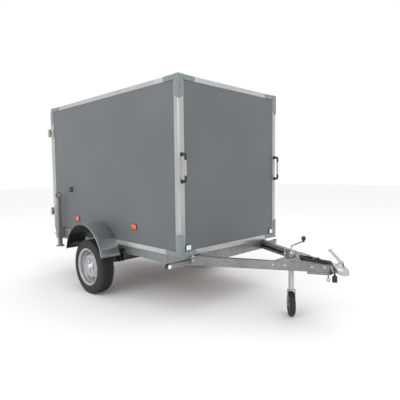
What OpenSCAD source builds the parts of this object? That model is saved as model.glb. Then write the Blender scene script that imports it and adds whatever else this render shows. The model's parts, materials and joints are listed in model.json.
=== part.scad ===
// Single-axle box trailer: aluminium-framed panel body on a bent A-frame chassis,
// rubber-suspension axle, double rear doors, jockey wheel and two rear prop stands.
// Millimetres, +Z up, the drawbar points along -Y, ground at Z = 0.
// "left" is the +X side and "right" the -X side, as seen by someone facing the coupling.

/* [Body] */
// Width over the side profiles
body_w = 1340; // [1240:10:1500]
// Length from the front face to the outside of the doors
body_l = 2250; // [2050:10:2700]
// Height from the lower edge to the roof
body_h = 1440; // [1250:10:1800]
// Height of the body's lower edge above the ground
body_z = 500; // [480:5:560]
// Thickness of the wall and roof panels
panel_t = 15; // [9:1:18]
// Thickness of the floor panel
floor_t = 18; // [12:1:22]

/* [Profiles] */
// Face width of the corner posts
post_face = 55; // [45:1:65]
// Face height of the roof rails
roof_face = 40; // [34:1:48]
// Face height of the floor rails
floor_face = 42; // [36:1:48]
// Wall thickness of the aluminium profiles
skin_t = 3; // [2:0.5:4]
// Radius on the outer edge of the corner posts
post_round = 12; // [6:1:16]
// Reach of the corner caps' tongues from each corner
tongue_l = 185; // [120:5:220]
// Thickness of the corner caps
cap_t = 2.5; // [2:0.5:4]

/* [Doors] */
// Thickness of a door leaf
door_t = 30; // [24:1:36]
// Face width of the door leaf's frame
door_face = 38; // [30:1:50]
// Gap between the two leaves
door_gap = 4; // [3:0.5:8]
// Height of a hinge
hinge_h = 90; // [70:5:120]
// Outside diameter of the hinge knuckles
knuckle_d = 20; // [16:1:24]
// Diameter of the hinge pins
hinge_pin_d = 8; // [6:1:10]
// Diameter of the lock rods
rod_d = 12; // [10:1:14]
// Length of the lock handle's lever
lock_lever = 130; // [100:5:150]

/* [Front fittings] */
// Length of the grab handles
grip_l = 214; // [160:2:240]
// Diameter of the grab handles' bar
grip_d = 20; // [16:1:24]
// Stand-off of the grab handles
grip_out = 42; // [38:1:60]

/* [Chassis] */
// Height of the chassis rails
rail_h = 95; // [84:1:98]
// Width of the chassis rails
rail_w = 50; // [40:1:56]
// Sheet thickness of the chassis rails
rail_t = 4; // [3:0.5:5]
// Distance over the chassis rails
rails_over = 1220; // [1160:10:1240]
// Distance of the rails' bend behind the front face
bend_back = 222; // [200:1:260]
// Reach of the rails ahead of the front face
arm_reach = 940; // [900:5:1000]
// Distance over the rails at their front end
tip_over = 70; // [68:1:90]
// Drop of the rails' top edge ahead of the body
arm_drop = 19; // [10:1:22]
// Rise of the rails' lower edge at their front end
arm_rise = 17; // [8:1:20]
// Reach of the coupling's nose ahead of the front face
nose_reach = 1070; // [1060:5:1120]
// Side of the nose tube that carries the coupling
nose_tube = 54; // [50:1:56]

/* [Axle and wheels] */
// Distance of the wheel axis behind the front face
axle_back = 1163; // [1100:5:1300]
// Radius of the tyres
tyre_r = 265; // [260:1:285]
// Section width of the tyres
tyre_w = 155; // [145:1:165]
// Distance between the middles of the tyres
track = 1548; // [1535:1:1600]
// Bead seat diameter of the rims
bead_d = 330; // [330:1:332]
// Width between the rim flanges
rim_w = 127; // [114:1:132]
// Side of the axle's square tube
beam_side = 60; // [56:1:66]
// Length of the suspension arms
arm_l = 133; // [125:1:150]
// Drop of the suspension arms in degrees
arm_angle = 28; // [20:1:32]
// Radius of the mudguards
guard_r = 347; // [340:1:360]
// Distance from the middle of the trailer to the mudguards' outer edge
guard_out = 872; // [865:1:890]

/* [Jockey wheel] */
// Distance of the jockey wheel ahead of the front face
jockey_ahead = 596; // [580:1:630]
// Diameter of the outer tube
mast_d = 44; // [42:1:48]
// Diameter of the jockey wheel
castor_d = 200; // [190:5:210]
// Width of the jockey wheel
castor_w = 50; // [40:1:55]
// Turn of the jockey wheel about its mast, in degrees
castor_turn = -50; // [-60:1:60]

/* [Prop stands] */
// Side of the stands' square tube
stand_side = 40; // [34:1:42]
// Distance of the stands ahead of the doors' outside
stand_ahead = 250; // [230:5:300]
// Length of the stands' tube
stand_l = 542; // [500:2:600]
// Height of the stands' feet above the ground when stowed
stand_lift = 348; // [340:2:400]

/* [Hidden] */
$fn = 48;
clear = 0.3; // between pieces that move past each other
run_fit = 0.08; // radial clearance of pins and shafts in their bores
eps = 0.01;
both_sides = [1, -1];

// Rear hardware stands this far behind the doors
lock_case_t = 26;
lever_t = 12;
rear_reach = lock_case_t + 10 + lever_t;

// The origin is the middle of the whole trailer's footprint
front_y = -(body_l + rear_reach - nose_reach) / 2;
rear_y = front_y + body_l;
top_z = body_z + body_h;
side_x = body_w / 2;

// Panels sit in slots between the profiles' outer and inner skins
slot_clear = 0.2;
slot_depth = 24;
edge_rebate = 1;
arch_r = 66;
leg_t = 2 * skin_t + panel_t + 2 * slot_clear;
panel_x = side_x - skin_t - slot_clear;
panel_y = front_y + skin_t + slot_clear;
grip_depth = post_face - slot_depth;

// Rear frame and door leaves
seal_gap = 2;
frame_d = 50;
frame_back_y = rear_y - door_t - seal_gap;
frame_front_y = frame_back_y - frame_d;
leaf_edge = 2;
leaf_top = top_z - 25;
leaf_bottom = body_z + 25;
leaf_outer_x = side_x - leaf_edge;
leaf_inner_x = door_gap / 2;
pin_x = side_x + 20;
pin_y = rear_y + 12;
hinge_zs = [body_z + 235, top_z - 280];
strap_t = 4;
strap_l = 118;
lock_x = 95;
lock_z = body_z + 620;
leaf_step = 6;
rod_y = rear_y + 10;
keeper_h = 18;
rod_gap = 2;
guide_d = 20;

// Chassis rails, bent inwards ahead of the body
rail_x = rails_over / 2;
tip_x = tip_over / 2;
rail_z = body_z - rail_h;
arm_low = rail_z + arm_rise;
bend_y = front_y + bend_back;
tip_y = front_y - arm_reach;
rail_end_y = frame_back_y;
bend_angle = atan2(rail_x - tip_x, bend_y - tip_y);
level_y = front_y - 150;
arm_top = body_z - arm_drop;
lip_h = 26;
// Outer face of an arm at a given Y
function arm_x(y) = tip_x + (y - tip_y) * tan(bend_angle);

// Axle and wheels
wheel_y = front_y + axle_back;
wheel_x = track / 2;
wheel_z = tyre_r;
beam_y = wheel_y - arm_l * cos(arm_angle);
beam_z = wheel_z + arm_l * sin(arm_angle);
beam_half = side_x - 28;
beam_wall = 4;
link_x = beam_half + 3;
link_t = 28;
shaft_d = 30;
stub_d = 28;
rim_wall = 3.5;
bead_lift = 0.25;
disc_x = 30;
hub_r = 66;
hub_back = wheel_x - rim_w / 2 - 2;
pcd = 100;
bolt_count = 4;

// Mudguards
guard_y = wheel_y + 33;
guard_z = wheel_z + 73;
guard_t = 2.5;
guard_in = side_x + 1;
guard_from = 11;
guard_to = 170;
lip_r = 6;

// Coupling
ball_r = 25;
head_r = ball_r + 9;
ball_y = front_y - nose_reach + head_r;
ball_z = 432;
head_t = 4;
nose_from = tip_y + 130;
nose_to = ball_y + 42;
nose_z = arm_low + 2;
tray_l = 145;
tray_h = 18;
tray_z = arm_low - arm_rise * tray_l / arm_reach - tray_h;
sleeve_l = tip_y - 2 - nose_to;
lever_y = ball_y + 26;
lever_z = nose_z + nose_tube + 26;
lever_reach = 128;
lever_lift = 42;

// Jockey wheel
mast_y = front_y - jockey_ahead;
mast_top = arm_top + 44;
mast_wall = 3;
castor_r = castor_d / 2;
mast_low = castor_d + 24;
plate_z = arm_top;
plate_t = 4;
plate_from = mast_y - 77;
plate_to = mast_y + 40;
tube_d = mast_d - 2 * mast_wall - 1;
stem_d = 14;
clamp_h = 30;
clamp_d = mast_d + 20;
screw_z = plate_z + plate_t + 15;
screw_y = mast_y + 62;
tbar_l = 76;
crank_rise = 42;
crank_reach = 108;
crank_slope = 52;

// Prop stands
stand_x = side_x + 52;
stand_y = rear_y - stand_ahead;
stand_z = stand_lift + 14;
sleeve_t = 5;
loop_r = 36;
sleeve_h = 108;
sleeve_z = body_z - 50;

// Front and side fittings
grip_x = side_x - post_face / 2;
grip_z = body_z + 712;
reflector_z = body_z + 191;
reflector_ys = [front_y + 620, front_y + 1661];

// Lamps
marker_side = 38;
marker_y = front_y + 55;
marker_z = body_z - 66;
marker_x = side_x + 65;
lamp_w = 220;
lamp_h = 84;
lamp_d = 44;
retainer_y = front_y + 1780;

// Cable route: free along the drawbar, past the coupling, down to its plug
cable_d = 10.5;
shelf_t = 3;
shelf_z = plate_z + shelf_t;
lead_points = [
    [42, -1287, 495], [42, -1296, 495], [42, -1306, 494], [42, -1318, 492],
    [42, -1330, 490]];
tail_points = [
    [-38, -1500, 500], [-38, -1520, 500], [-38, -1538, 500], [-39, -1552, 498],
    [-41, -1566, 492], [-44, -1579, 482], [-47, -1589, 469], [-49, -1596, 454],
    [-50, -1599, 438], [-50, -1600, 422]];
hank_y = -1420;
hank_half = 83;
hank_w = 95;
hank_h = 21;
gland_l = 24;
plug_d = 38;
plug_l = 44;
boot_l = 14;

module on_side(s) {
    if (s > 0) children();
    else mirror([1, 0, 0]) children();
}

module both() {
    for (s = both_sides) on_side(s) children();
}

// A box from its two corners
module box(a, b) {
    translate(a) cube([b[0] - a[0], b[1] - a[1], b[2] - a[2]]);
}

// A cylinder that runs along X or Y from a point
module rod_x(p, l, r) { translate(p) rotate([0, 90, 0]) cylinder(h = l, r = r); }
module rod_y_dir(p, l, r) { translate(p) rotate([-90, 0, 0]) cylinder(h = l, r = r); }

// ---- body ----

// A level panel over the whole body, notched round the front corner posts
module level_panel(z_low, z_high) difference() {
    box([-panel_x, panel_y, z_low], [panel_x, frame_front_y, z_high]);
    both() box([side_x - post_face - slot_clear, front_y - 1, z_low - 1],
        [side_x, front_y + post_face + slot_clear, z_high + 1]);
}

// Floor board: the walls and posts stand in a rebate round its raised field
module floor_panel() color("tan") {
    level_panel(body_z + skin_t, body_z + skin_t + floor_t - edge_rebate);
    field_x = side_x - leg_t - 2 * slot_clear;
    box([-field_x, front_y + leg_t + 2 * slot_clear, body_z + skin_t],
        [field_x, frame_front_y - slot_clear, body_z + skin_t + floor_t]);
}

module roof_panel() color("slategray")
    level_panel(top_z - skin_t - panel_t - slot_clear, top_z - skin_t - slot_clear);

// Front and side walls stand between the floor and the roof, in the posts' slots
module wall_panels() color("slategray") {
    low = body_z + skin_t + floor_t - edge_rebate + slot_clear;
    high = top_z - skin_t - panel_t - 2 * slot_clear;
    box([-side_x + grip_depth, panel_y, low], [side_x - grip_depth, panel_y + panel_t, high]);
    both() box([panel_x - panel_t, front_y + grip_depth, low], [panel_x, frame_front_y, high]);
}

// Corner post: an L of two hollow legs that take the panels' edges, rounded outside
module post_outline() {
    difference() {
        union() {
            translate([post_round, post_round]) circle(r = post_round);
            translate([post_round, 0]) square([post_face - post_round, leg_t]);
            translate([0, post_round]) square([leg_t, post_face - post_round]);
            translate([post_round, post_round]) square([leg_t - post_round, leg_t - post_round]);
        }
        translate([post_face - slot_depth - 6, skin_t])
            square([slot_depth + 7, panel_t + 2 * slot_clear]);
        translate([skin_t, post_face - slot_depth - 6])
            square([panel_t + 2 * slot_clear, slot_depth + 7]);
    }
}

module front_posts() color("gainsboro") both()
    translate([side_x, front_y, body_z]) mirror([1, 0, 0])
        linear_extrude(body_h) post_outline();

// Rear door frame: posts, header and sill with the four lock keepers
module rear_frame() color("gainsboro") difference() {
    union() {
        difference() {
            box([-side_x, frame_front_y, body_z], [side_x, frame_back_y, top_z]);
            box([-side_x + post_face, frame_front_y - 1, body_z + post_face],
                [side_x - post_face, frame_back_y + 1, top_z - post_face]);
        }
        both() keepers();
    }
    both() for (z = [body_z - 1, top_z - keeper_h - 40])
        translate([lock_x, rod_y, z]) cylinder(h = keeper_h + 42, d = rod_d + 2 * clear + 0.4);
}

module keepers() {
    for (z = [body_z + 2, top_z - 2 - keeper_h])
        box([lock_x - 24, frame_back_y - 1, z], [lock_x + 24, rod_y + 13, z + keeper_h]);
}

// Rails: an L whose two legs cover the edges of two panels
module roof_rails() {
    both() difference() {
        box([side_x - roof_face, front_y + post_face, top_z - roof_face],
            [side_x, frame_front_y, top_z]);
        box([side_x - roof_face - 1, front_y, top_z - roof_face - 1],
            [side_x - skin_t, frame_back_y, top_z - skin_t]);
    }
    difference() {
        box([-side_x + post_face, front_y, top_z - roof_face],
            [side_x - post_face, front_y + roof_face, top_z]);
        box([-side_x, front_y + skin_t, top_z - roof_face - 1],
            [side_x, front_y + roof_face + 1, top_z - skin_t]);
    }
}

module floor_rails() {
    both() difference() {
        box([side_x - floor_face, front_y + post_face, body_z],
            [side_x, frame_front_y, body_z + floor_face]);
        box([side_x - floor_face - 1, front_y, body_z + skin_t],
            [side_x - skin_t, frame_back_y, body_z + floor_face + 1]);
    }
    difference() {
        box([-side_x + post_face, front_y, body_z],
            [side_x - post_face, front_y + floor_face, body_z + floor_face]);
        box([-side_x, front_y + skin_t, body_z + skin_t],
            [side_x, front_y + floor_face + 1, body_z + floor_face + 1]);
    }
}

module body_rails() color("gainsboro") {
    roof_rails();
    floor_rails();
}

// A rounded tongue of a corner cap: a flat strip along +X with a round end
module tongue(length, width) {
    square([length - width / 2, width]);
    translate([length - width / 2, width / 2]) circle(d = width);
}

// Half of the tongue that wraps a post: its end is an arch over both faces
module post_tongue(length, width) intersection() {
    square([width, length]);
    union() {
        square([width, length - arch_r]);
        translate([0, length - arch_r]) circle(r = arch_r);
    }
}

// One face of a corner cap: a rail tongue and half a post tongue from the corner
module cap_face(rail_width) {
    tongue(tongue_l, rail_width);
    post_tongue(tongue_l, post_face - 6);
}

// Corner cap in the body's front left corner, top or bottom
module front_cap(rail_face) {
    translate([side_x, front_y, 0]) {
        // front face: along -X and along the post
        rotate([90, 0, 0]) mirror([1, 0, 0]) linear_extrude(cap_t)
            translate([-cap_t, 0]) cap_face(rail_face);
        // side face: along +Y and along the post
        translate([0, -cap_t, 0]) rotate([90, 0, 90]) linear_extrude(cap_t)
            cap_face(rail_face);
    }
    // top face covering the corner itself
    translate([side_x + cap_t, front_y - cap_t, -cap_t]) mirror([1, 0, 0])
        cube([post_face + cap_t, post_face + cap_t, cap_t]);
}

// Corner cap on the rear frame's side: the doors cover its rear face
module rear_cap(rail_face) {
    translate([side_x, frame_back_y, 0]) rotate([90, 0, 90]) mirror([1, 0, 0])
        linear_extrude(cap_t) cap_face(rail_face);
    translate([side_x + cap_t, frame_back_y - post_face, -cap_t]) mirror([1, 0, 0])
        cube([post_face + cap_t, post_face, cap_t]);
}

module corner_caps() color("darkseagreen") both() {
    translate([0, 0, body_z]) {
        front_cap(floor_face);
        rear_cap(floor_face);
    }
    translate([0, 0, top_z]) mirror([0, 0, 1]) {
        front_cap(roof_face);
        rear_cap(roof_face);
    }
}

// Grab handle: a bar between two feet on the corner post
module front_handles() color("silver") both() {
    for (z = [grip_z - grip_l / 2, grip_z + grip_l / 2]) {
        rod_y_dir([grip_x, front_y - grip_out, z], grip_out - 4, grip_d / 2 - 1);
        translate([grip_x, front_y, z]) rotate([90, 0, 0]) cylinder(h = 4, r = 17);
        translate([grip_x, front_y - grip_out, z]) sphere(r = grip_d / 2);
    }
    translate([grip_x, front_y - grip_out, grip_z - grip_l / 2])
        cylinder(h = grip_l, d = grip_d);
}

module reflectors() {
    color("orangered") both() for (y = reflector_ys)
        box([panel_x, y - 38, reflector_z - 26], [side_x + 6, y + 38, reflector_z + 26]);
    color("white") both()
        box([side_x - 116, front_y - 6, body_z + floor_face + 4],
            [side_x - post_face - 2, front_y + skin_t + slot_clear, body_z + floor_face + 50]);
}

// Front marker lamps on square arms that reach out from the drawbar's rails
module marker_lamps() color("dimgray") both() translate([0, marker_y, marker_z]) {
    difference() {
        box([arm_x(marker_y - marker_side / 2) + 0.2, -marker_side / 2, -marker_side / 2],
            [marker_x, marker_side / 2, marker_side / 2]);
        // the arm's inner end follows the slanted rail
        linear_extrude(2 * marker_side, center = true) polygon([
            [arm_x(marker_y - marker_side), -marker_side],
            [arm_x(marker_y + marker_side), marker_side],
            [0, marker_side], [0, -marker_side]]);
    }
    box([marker_x, -marker_side / 2, -22], [marker_x + 18, marker_side / 2, 22]);
    rod_y_dir([marker_x + 18, -marker_side / 2, 0], marker_side, 22);
}

// Rear light board: two lamp clusters and the number plate holder
module rear_lamps() color("firebrick") {
    both() box([side_x - 18 - lamp_w, rail_end_y, rail_z + 2],
        [side_x - 18, rail_end_y + lamp_d, rail_z + 2 + lamp_h]);
    difference() {
        box([-265, rail_end_y, rail_z - 28], [265, rail_end_y + 12, rail_z + 86]);
        box([-260, rail_end_y + 4, rail_z - 23], [260, rail_end_y + 13, rail_z + 81]);
    }
}

// Sealing strip round the door opening, between the frame and the leaves
module door_seal() color("black") difference() {
    box([-side_x + 18, frame_back_y, leaf_bottom + 8],
        [side_x - 18, frame_back_y + seal_gap - clear, leaf_top - 8]);
    box([-side_x + 30, frame_back_y - 1, leaf_bottom + 20],
        [side_x - 30, frame_back_y + seal_gap, leaf_top - 20]);
}

// ---- rear doors, modelled as the left leaf ----

module door_panel() color("slategray")
    box([leaf_inner_x + door_face - slot_depth, rear_y - door_t + leaf_step,
            leaf_bottom + door_face - slot_depth],
        [leaf_outer_x - door_face + slot_depth, rear_y - leaf_step,
            leaf_top - door_face + slot_depth]);

module door_frame() color("gainsboro") difference() {
    box([leaf_inner_x, rear_y - door_t, leaf_bottom], [leaf_outer_x, rear_y, leaf_top]);
    box([leaf_inner_x + door_face, rear_y - door_t - 1, leaf_bottom + door_face],
        [leaf_outer_x - door_face, rear_y + 1, leaf_top - door_face]);
    box([leaf_inner_x + door_face - slot_depth, rear_y - door_t + leaf_step,
            leaf_bottom + door_face - slot_depth],
        [leaf_outer_x - door_face + slot_depth, rear_y - leaf_step,
            leaf_top - door_face + slot_depth]);
}

knuckle_h = hinge_h * 0.42;
module door_hinges() color("silver") for (z = hinge_zs) translate([0, 0, z]) difference() {
    union() {
        translate([pin_x, pin_y, -knuckle_h / 2]) cylinder(h = knuckle_h, d = knuckle_d);
        box([side_x - 6, rear_y, -knuckle_h / 2], [pin_x, rear_y + strap_t, knuckle_h / 2]);
        box([side_x - strap_l, rear_y, -hinge_h / 2],
            [side_x - 6, rear_y + strap_t, hinge_h / 2]);
    }
    translate([pin_x, pin_y, -hinge_h]) cylinder(h = 2 * hinge_h, d = hinge_pin_d + 2 * run_fit);
}

module hinge_brackets() color("silver") both() for (z = hinge_zs) translate([0, 0, z]) {
    for (s = both_sides) mirror([0, 0, s > 0 ? 0 : 1]) difference() {
        union() {
            translate([pin_x, pin_y, knuckle_h / 2 + clear])
                cylinder(h = hinge_h / 2 - knuckle_h / 2 - clear, d = knuckle_d);
            box([side_x + cap_t + 0.5, rear_y - door_t, knuckle_h / 2 + clear],
                [side_x + cap_t + 4.5, pin_y, hinge_h / 2]);
            box([side_x + cap_t + 0.5, pin_y - 4, knuckle_h / 2 + clear],
                [pin_x, pin_y, hinge_h / 2]);
        }
        translate([pin_x, pin_y, 0]) cylinder(h = hinge_h, d = hinge_pin_d);
    }
    box([side_x, frame_front_y, -hinge_h / 2], [side_x + cap_t + 0.5, frame_back_y, hinge_h / 2]);
    box([side_x + cap_t + 0.5, frame_front_y, -hinge_h / 2],
        [side_x + cap_t + 4.5, rear_y - door_t, hinge_h / 2]);
    translate([pin_x, pin_y, -hinge_h / 2]) cylinder(h = hinge_h, d = hinge_pin_d);
}

// Lock: a gear case that drives two rods apart, with guides along the leaf
guide_zs = [leaf_bottom + 60, lock_z - 250, lock_z + 250, leaf_top - 60];
module lock_case() color("dimgray") difference() {
    union() {
        box([lock_x - 22, rear_y - leaf_step, lock_z - 60],
            [lock_x + 22, rear_y + lock_case_t, lock_z + 60]);
        for (z = guide_zs)
            box([lock_x - 20, rear_y - leaf_step, z - 9], [lock_x + 20, rear_y + guide_d, z + 9]);
    }
    translate([lock_x, rod_y, leaf_bottom]) cylinder(h = body_h, d = rod_d + 2 * clear);
    rod_y_dir([lock_x, rod_y + rod_d / 2 + 1, lock_z], lock_case_t, 8 + run_fit);
}

module lock_handle() color("black") {
    rod_y_dir([lock_x, rod_y + rod_d / 2 + 1 + clear, lock_z],
        lock_case_t + 10 - 17 - clear, 8);
    rod_y_dir([lock_x, rear_y + lock_case_t + clear, lock_z], 10 - clear, 17);
    translate([lock_x, rear_y + lock_case_t + 10, lock_z]) {
        rod_y_dir([0, 0, 0], lever_t, 17);
        box([0, 0, -9], [lock_lever - 9, lever_t, 9]);
        rod_y_dir([lock_lever - 9, 0, 0], lever_t, 9);
    }
}

module lock_top_rod() color("silver")
    translate([lock_x, rod_y, lock_z + rod_gap])
        cylinder(h = top_z - 2 - keeper_h - rod_gap - lock_z - rod_gap, d = rod_d);

module lock_bottom_rod() color("silver")
    translate([lock_x, rod_y, body_z + 2 + keeper_h + rod_gap])
        cylinder(h = lock_z - rod_gap - body_z - 2 - keeper_h - rod_gap, d = rod_d);

module door_retainers() color("dimgray") both()
    translate([panel_x, retainer_y, body_z + 503]) {
        box([0, -15, -30], [6, 15, 30]);
        difference() {
            box([6, -9, -22], [34, 9, 22]);
            box([12, -10, -12], [28, 10, 12]);
            box([20, -10, -4], [35, 10, 4]);
        }
    }

// ---- chassis ----

// Plan of a bent strip that follows the rail's outer face at two depths from it
module rail_plan(from, to) {
    h = tan(bend_angle / 2);
    c = cos(bend_angle);
    s = sin(bend_angle);
    polygon([
        [rail_x - from, rail_end_y], [rail_x - from, bend_y + from * h],
        [tip_x - from * c, tip_y + from * s], [tip_x - to * c, tip_y + to * s],
        [rail_x - to, bend_y + to * h], [rail_x - to, rail_end_y]]);
}

// Side outline of the rail, thinned by t above and below
module rail_side(t) {
    rotate([90, 0, 90]) linear_extrude(rail_x + 1) polygon([
        [rail_end_y + 1, rail_z + t], [rail_end_y + 1, body_z - t],
        [bend_y, body_z - t], [level_y, arm_top - t],
        [tip_y - 1, arm_top - t], [tip_y - 1, arm_low + t], [front_y, rail_z + t]]);
}

module chassis_rail() color("lightgray") difference() {
    intersection() {
        linear_extrude(body_z) rail_plan(0, rail_w);
        rail_side(0);
    }
    intersection() {
        linear_extrude(body_z) rail_plan(rail_t, rail_w - rail_t);
        rail_side(rail_t);
    }
    // the open side between the two lips
    translate([0, 0, rail_z + lip_h])
        linear_extrude(arm_top - rail_z - 2 * lip_h) rail_plan(rail_w - 2 * rail_t, rail_w + 1);
    // the nose tube passes between the two rails' ends
    box([-rail_w, tip_y - 1, rail_z - 1], [nose_tube / 2 + slot_clear, nose_from, body_z]);
    box([-rail_w, tip_y - 1, rail_z - 1], [slot_clear, bend_y, body_z]);
}

member_w = 45;
module cross_member(y, z_low, z_high, half) {
    difference() {
        box([-half, y, z_low], [half, y + member_w, z_high]);
        box([-half - 1, y + rail_t, z_low + rail_t],
            [half + 1, y + member_w + 1, z_high - rail_t]);
    }
}

module cross_members() color("lightgray") {
    inner = rail_x - rail_w;
    cross_member(front_y + 8, rail_z, body_z, arm_x(front_y + 8) - rail_w / cos(bend_angle) - 1);
    cross_member(wheel_y - 330, rail_z, body_z, inner);
    cross_member(wheel_y + 420, rail_z, body_z, inner);
    difference() {
        box([-inner, rail_end_y - member_w, rail_z], [inner, rail_end_y, body_z]);
        box([-inner - 1, rail_end_y - member_w - 1, rail_z + rail_t],
            [inner + 1, rail_end_y - rail_t, body_z - rail_t]);
    }
    // end plates that carry the lamps outside the rails
    both() box([rail_x, rail_end_y - 6, rail_z], [side_x - 20, rail_end_y, body_z - cap_t - 1]);
}

// ---- axle ----

module axle_beam() color("dimgray") {
    difference() {
        box([-beam_half, beam_y - beam_side / 2, beam_z - beam_side / 2],
            [beam_half, beam_y + beam_side / 2, beam_z + beam_side / 2]);
        box([-beam_half + 20, beam_y - beam_side / 2 + beam_wall, beam_z - beam_side / 2 + beam_wall],
            [beam_half - 20, beam_y + beam_side / 2 - beam_wall, beam_z + beam_side / 2 - beam_wall]);
        rod_x([-beam_half - 1, beam_y, beam_z], 2 * beam_half + 2, shaft_d / 2 + run_fit);
    }
    both() for (x = [rail_x - rail_w, rail_x - 8]) difference() {
        box([x, beam_y - 95, beam_z - beam_side / 2 + 8], [x + 8, beam_y + 95, rail_z]);
        box([x - 1, beam_y - beam_side / 2, beam_z - beam_side / 2 - 1],
            [x + 9, beam_y + beam_side / 2, beam_z + beam_side / 2]);
    }
}

// Trailing arm with its torsion shaft and the stub axle
module axle_arm() color("dimgray") {
    middle_x = link_x + link_t / 2;
    rod_x([beam_half - 160, beam_y, beam_z], middle_x - beam_half + 160, shaft_d / 2);
    rod_x([link_x, beam_y, beam_z], link_t, 32);
    rod_x([link_x, wheel_y, wheel_z], link_t, 30);
    translate([link_x + 1, beam_y, beam_z]) rotate([-arm_angle, 0, 0])
        translate([0, 0, -26]) cube([link_t - 2, arm_l, 52]);
    rod_x([middle_x, wheel_y, wheel_z], hub_back - clear - middle_x, 24);
    rod_x([middle_x, wheel_y, wheel_z], wheel_x + disc_x - 8 - middle_x, stub_d / 2);
}

module wheel_frame() {
    translate([wheel_x, wheel_y, wheel_z]) rotate([0, 90, 0]) children();
}

// Hub with its grease cap and four wheel bolts
module hub() color("silver") wheel_frame() {
    back = hub_back - wheel_x;
    difference() {
        union() {
            translate([0, 0, back]) cylinder(h = disc_x - back, r = 34);
            translate([0, 0, disc_x - 14]) cylinder(h = 14, r = hub_r);
        }
        translate([0, 0, back - 1]) cylinder(h = disc_x - back - 6, r = stub_d / 2 + run_fit);
    }
    translate([0, 0, disc_x]) cylinder(h = 26, r = 27);
    translate([0, 0, disc_x + 26]) cylinder(h = 6, r1 = 27, r2 = 20);
    for (a = [0 : 360 / bolt_count : 359]) rotate([0, 0, a + 45])
        translate([pcd / 2, 0, disc_x + rim_wall]) {
            cylinder(h = 5, r1 = 8, r2 = 11);
            translate([0, 0, 5]) cylinder(h = 11, r = 9.8, $fn = 6);
        }
}

// Half section of the rim: flanges, bead seats, drop centre
module rim_section() {
    f = rim_w / 2;
    r = bead_d / 2;
    polygon([
        [r + 17, -f - 9], [r + 17, -f - 4], [r + 3, -f], [r, -f + 4], [r - 1, -f + 22],
        [r - 14, -f + 34], [r - 14, f - 46], [r - 1, f - 30], [r, f - 4], [r + 3, f],
        [r + 17, f + 4], [r + 17, f + 9], [r + 12, f + 9], [r - rim_wall, f + 2],
        [r - rim_wall - 2, f - 28], [r - 14 - rim_wall, f - 44],
        [r - 14 - rim_wall, -f + 32], [r - rim_wall - 2, -f + 20],
        [r - rim_wall, -f - 2], [r + 12, -f - 9]]);
}

// Pressed disc: flat mounting face, raised ring, then a slope out to the barrel
module disc_section() {
    r = bead_d / 2 - 14 - rim_wall;
    polygon([
        [28, disc_x], [70, disc_x], [86, disc_x + 12], [104, disc_x + 12],
        [r - 12, disc_x - 12], [r, disc_x - 16], [r, disc_x - 12 - rim_wall + 8],
        [r - 10, disc_x - 12 + rim_wall + 1], [106, disc_x + 12 + rim_wall],
        [84, disc_x + 12 + rim_wall], [68, disc_x + rim_wall], [28, disc_x + rim_wall]]);
}

module rim() color("silver") wheel_frame() difference() {
    union() {
        rotate_extrude() rim_section();
        rotate_extrude() disc_section();
    }
    for (a = [0 : 45 : 359]) rotate([0, 0, a + 22.5]) translate([123, 0, disc_x - 30])
        cylinder(h = 60, r = 12);
    for (a = [0 : 360 / bolt_count : 359]) rotate([0, 0, a + 45])
        translate([pcd / 2, 0, disc_x - 1]) cylinder(h = 8, r = 6.5);
}

// Tyre carcass: beads on the rim's seats, bulged sidewalls, flat tread
module tyre_section() {
    f = rim_w / 2;
    r = bead_d / 2;
    w = tyre_w / 2;
    difference() {
        polygon([
            [r, -f + 4], [r + 3, -f], [r + 17, -f - 4], [r + 30, -w + 3], [r + 52, -w],
            [r + 76, -w + 5], [tyre_r - 14, -w + 12], [tyre_r - 5, -w + 19],
            [tyre_r, -w + 32], [tyre_r, w - 32], [tyre_r - 5, w - 19],
            [tyre_r - 14, w - 12], [r + 76, w - 5], [r + 52, w], [r + 30, w - 3],
            [r + 17, f + 4], [r + 3, f], [r, f - 4], [r - bead_lift, f - 12],
            [r + 16, f - 12], [r + 30, w - 14], [r + 52, w - 10], [tyre_r - 20, w - 22],
            [tyre_r - 12, w - 40], [tyre_r - 12, -w + 40], [tyre_r - 20, -w + 22],
            [r + 52, -w + 10], [r + 30, -w + 14], [r + 16, -f + 12], [r - bead_lift, -f + 12]]);
    }
}

module tyre() color("black") wheel_frame() rotate_extrude() tyre_section();

// Mudguard: an arched sheet with a flange on the body and a rolled outer lip
module guard_arc(section_from, section_to) {
    translate([0, guard_y, guard_z]) rotate([0, 90, 0]) rotate([0, 0, 90])
        rotate([0, 0, section_from]) rotate_extrude(angle = section_to - section_from) children();
}

module mudguards() color("lightslategray") both() {
    guard_arc(guard_from, guard_to) {
        translate([guard_r - guard_t, guard_in]) square([guard_t, guard_out - guard_in]);
        translate([guard_r - guard_t - 2, guard_out]) circle(r = lip_r);
    }
    // flange bolted to the side wall
    guard_arc(42, 138)
        translate([guard_r - 24, panel_x]) square([23, guard_in - panel_x + guard_t]);
    // stays from the chassis rail to the ends of the arch
    for (a = [guard_from + 7, guard_to - 7])
        translate([0, guard_y + (guard_r - guard_t) * cos(a), guard_z + (guard_r - guard_t) * sin(a)])
            rotate([a - 90, 0, 0]) box([rail_x, -20, -7], [guard_in + 90, 20, 0.5]);
}

// ---- drawbar ----

module head_shell(g) {
    hull() {
        translate([0, ball_y, ball_z + 4]) sphere(r = head_r - g, $fn = 32);
        translate([0, ball_y, ball_z - 14]) cylinder(h = 10, r = head_r - g, $fn = 32);
        box([-nose_tube / 2 - head_t + g - eps, nose_to - 14, nose_z + 4],
            [nose_tube / 2 + head_t - g + eps, nose_to + 6, nose_z + nose_tube + head_t - g]);
    }
}

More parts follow.
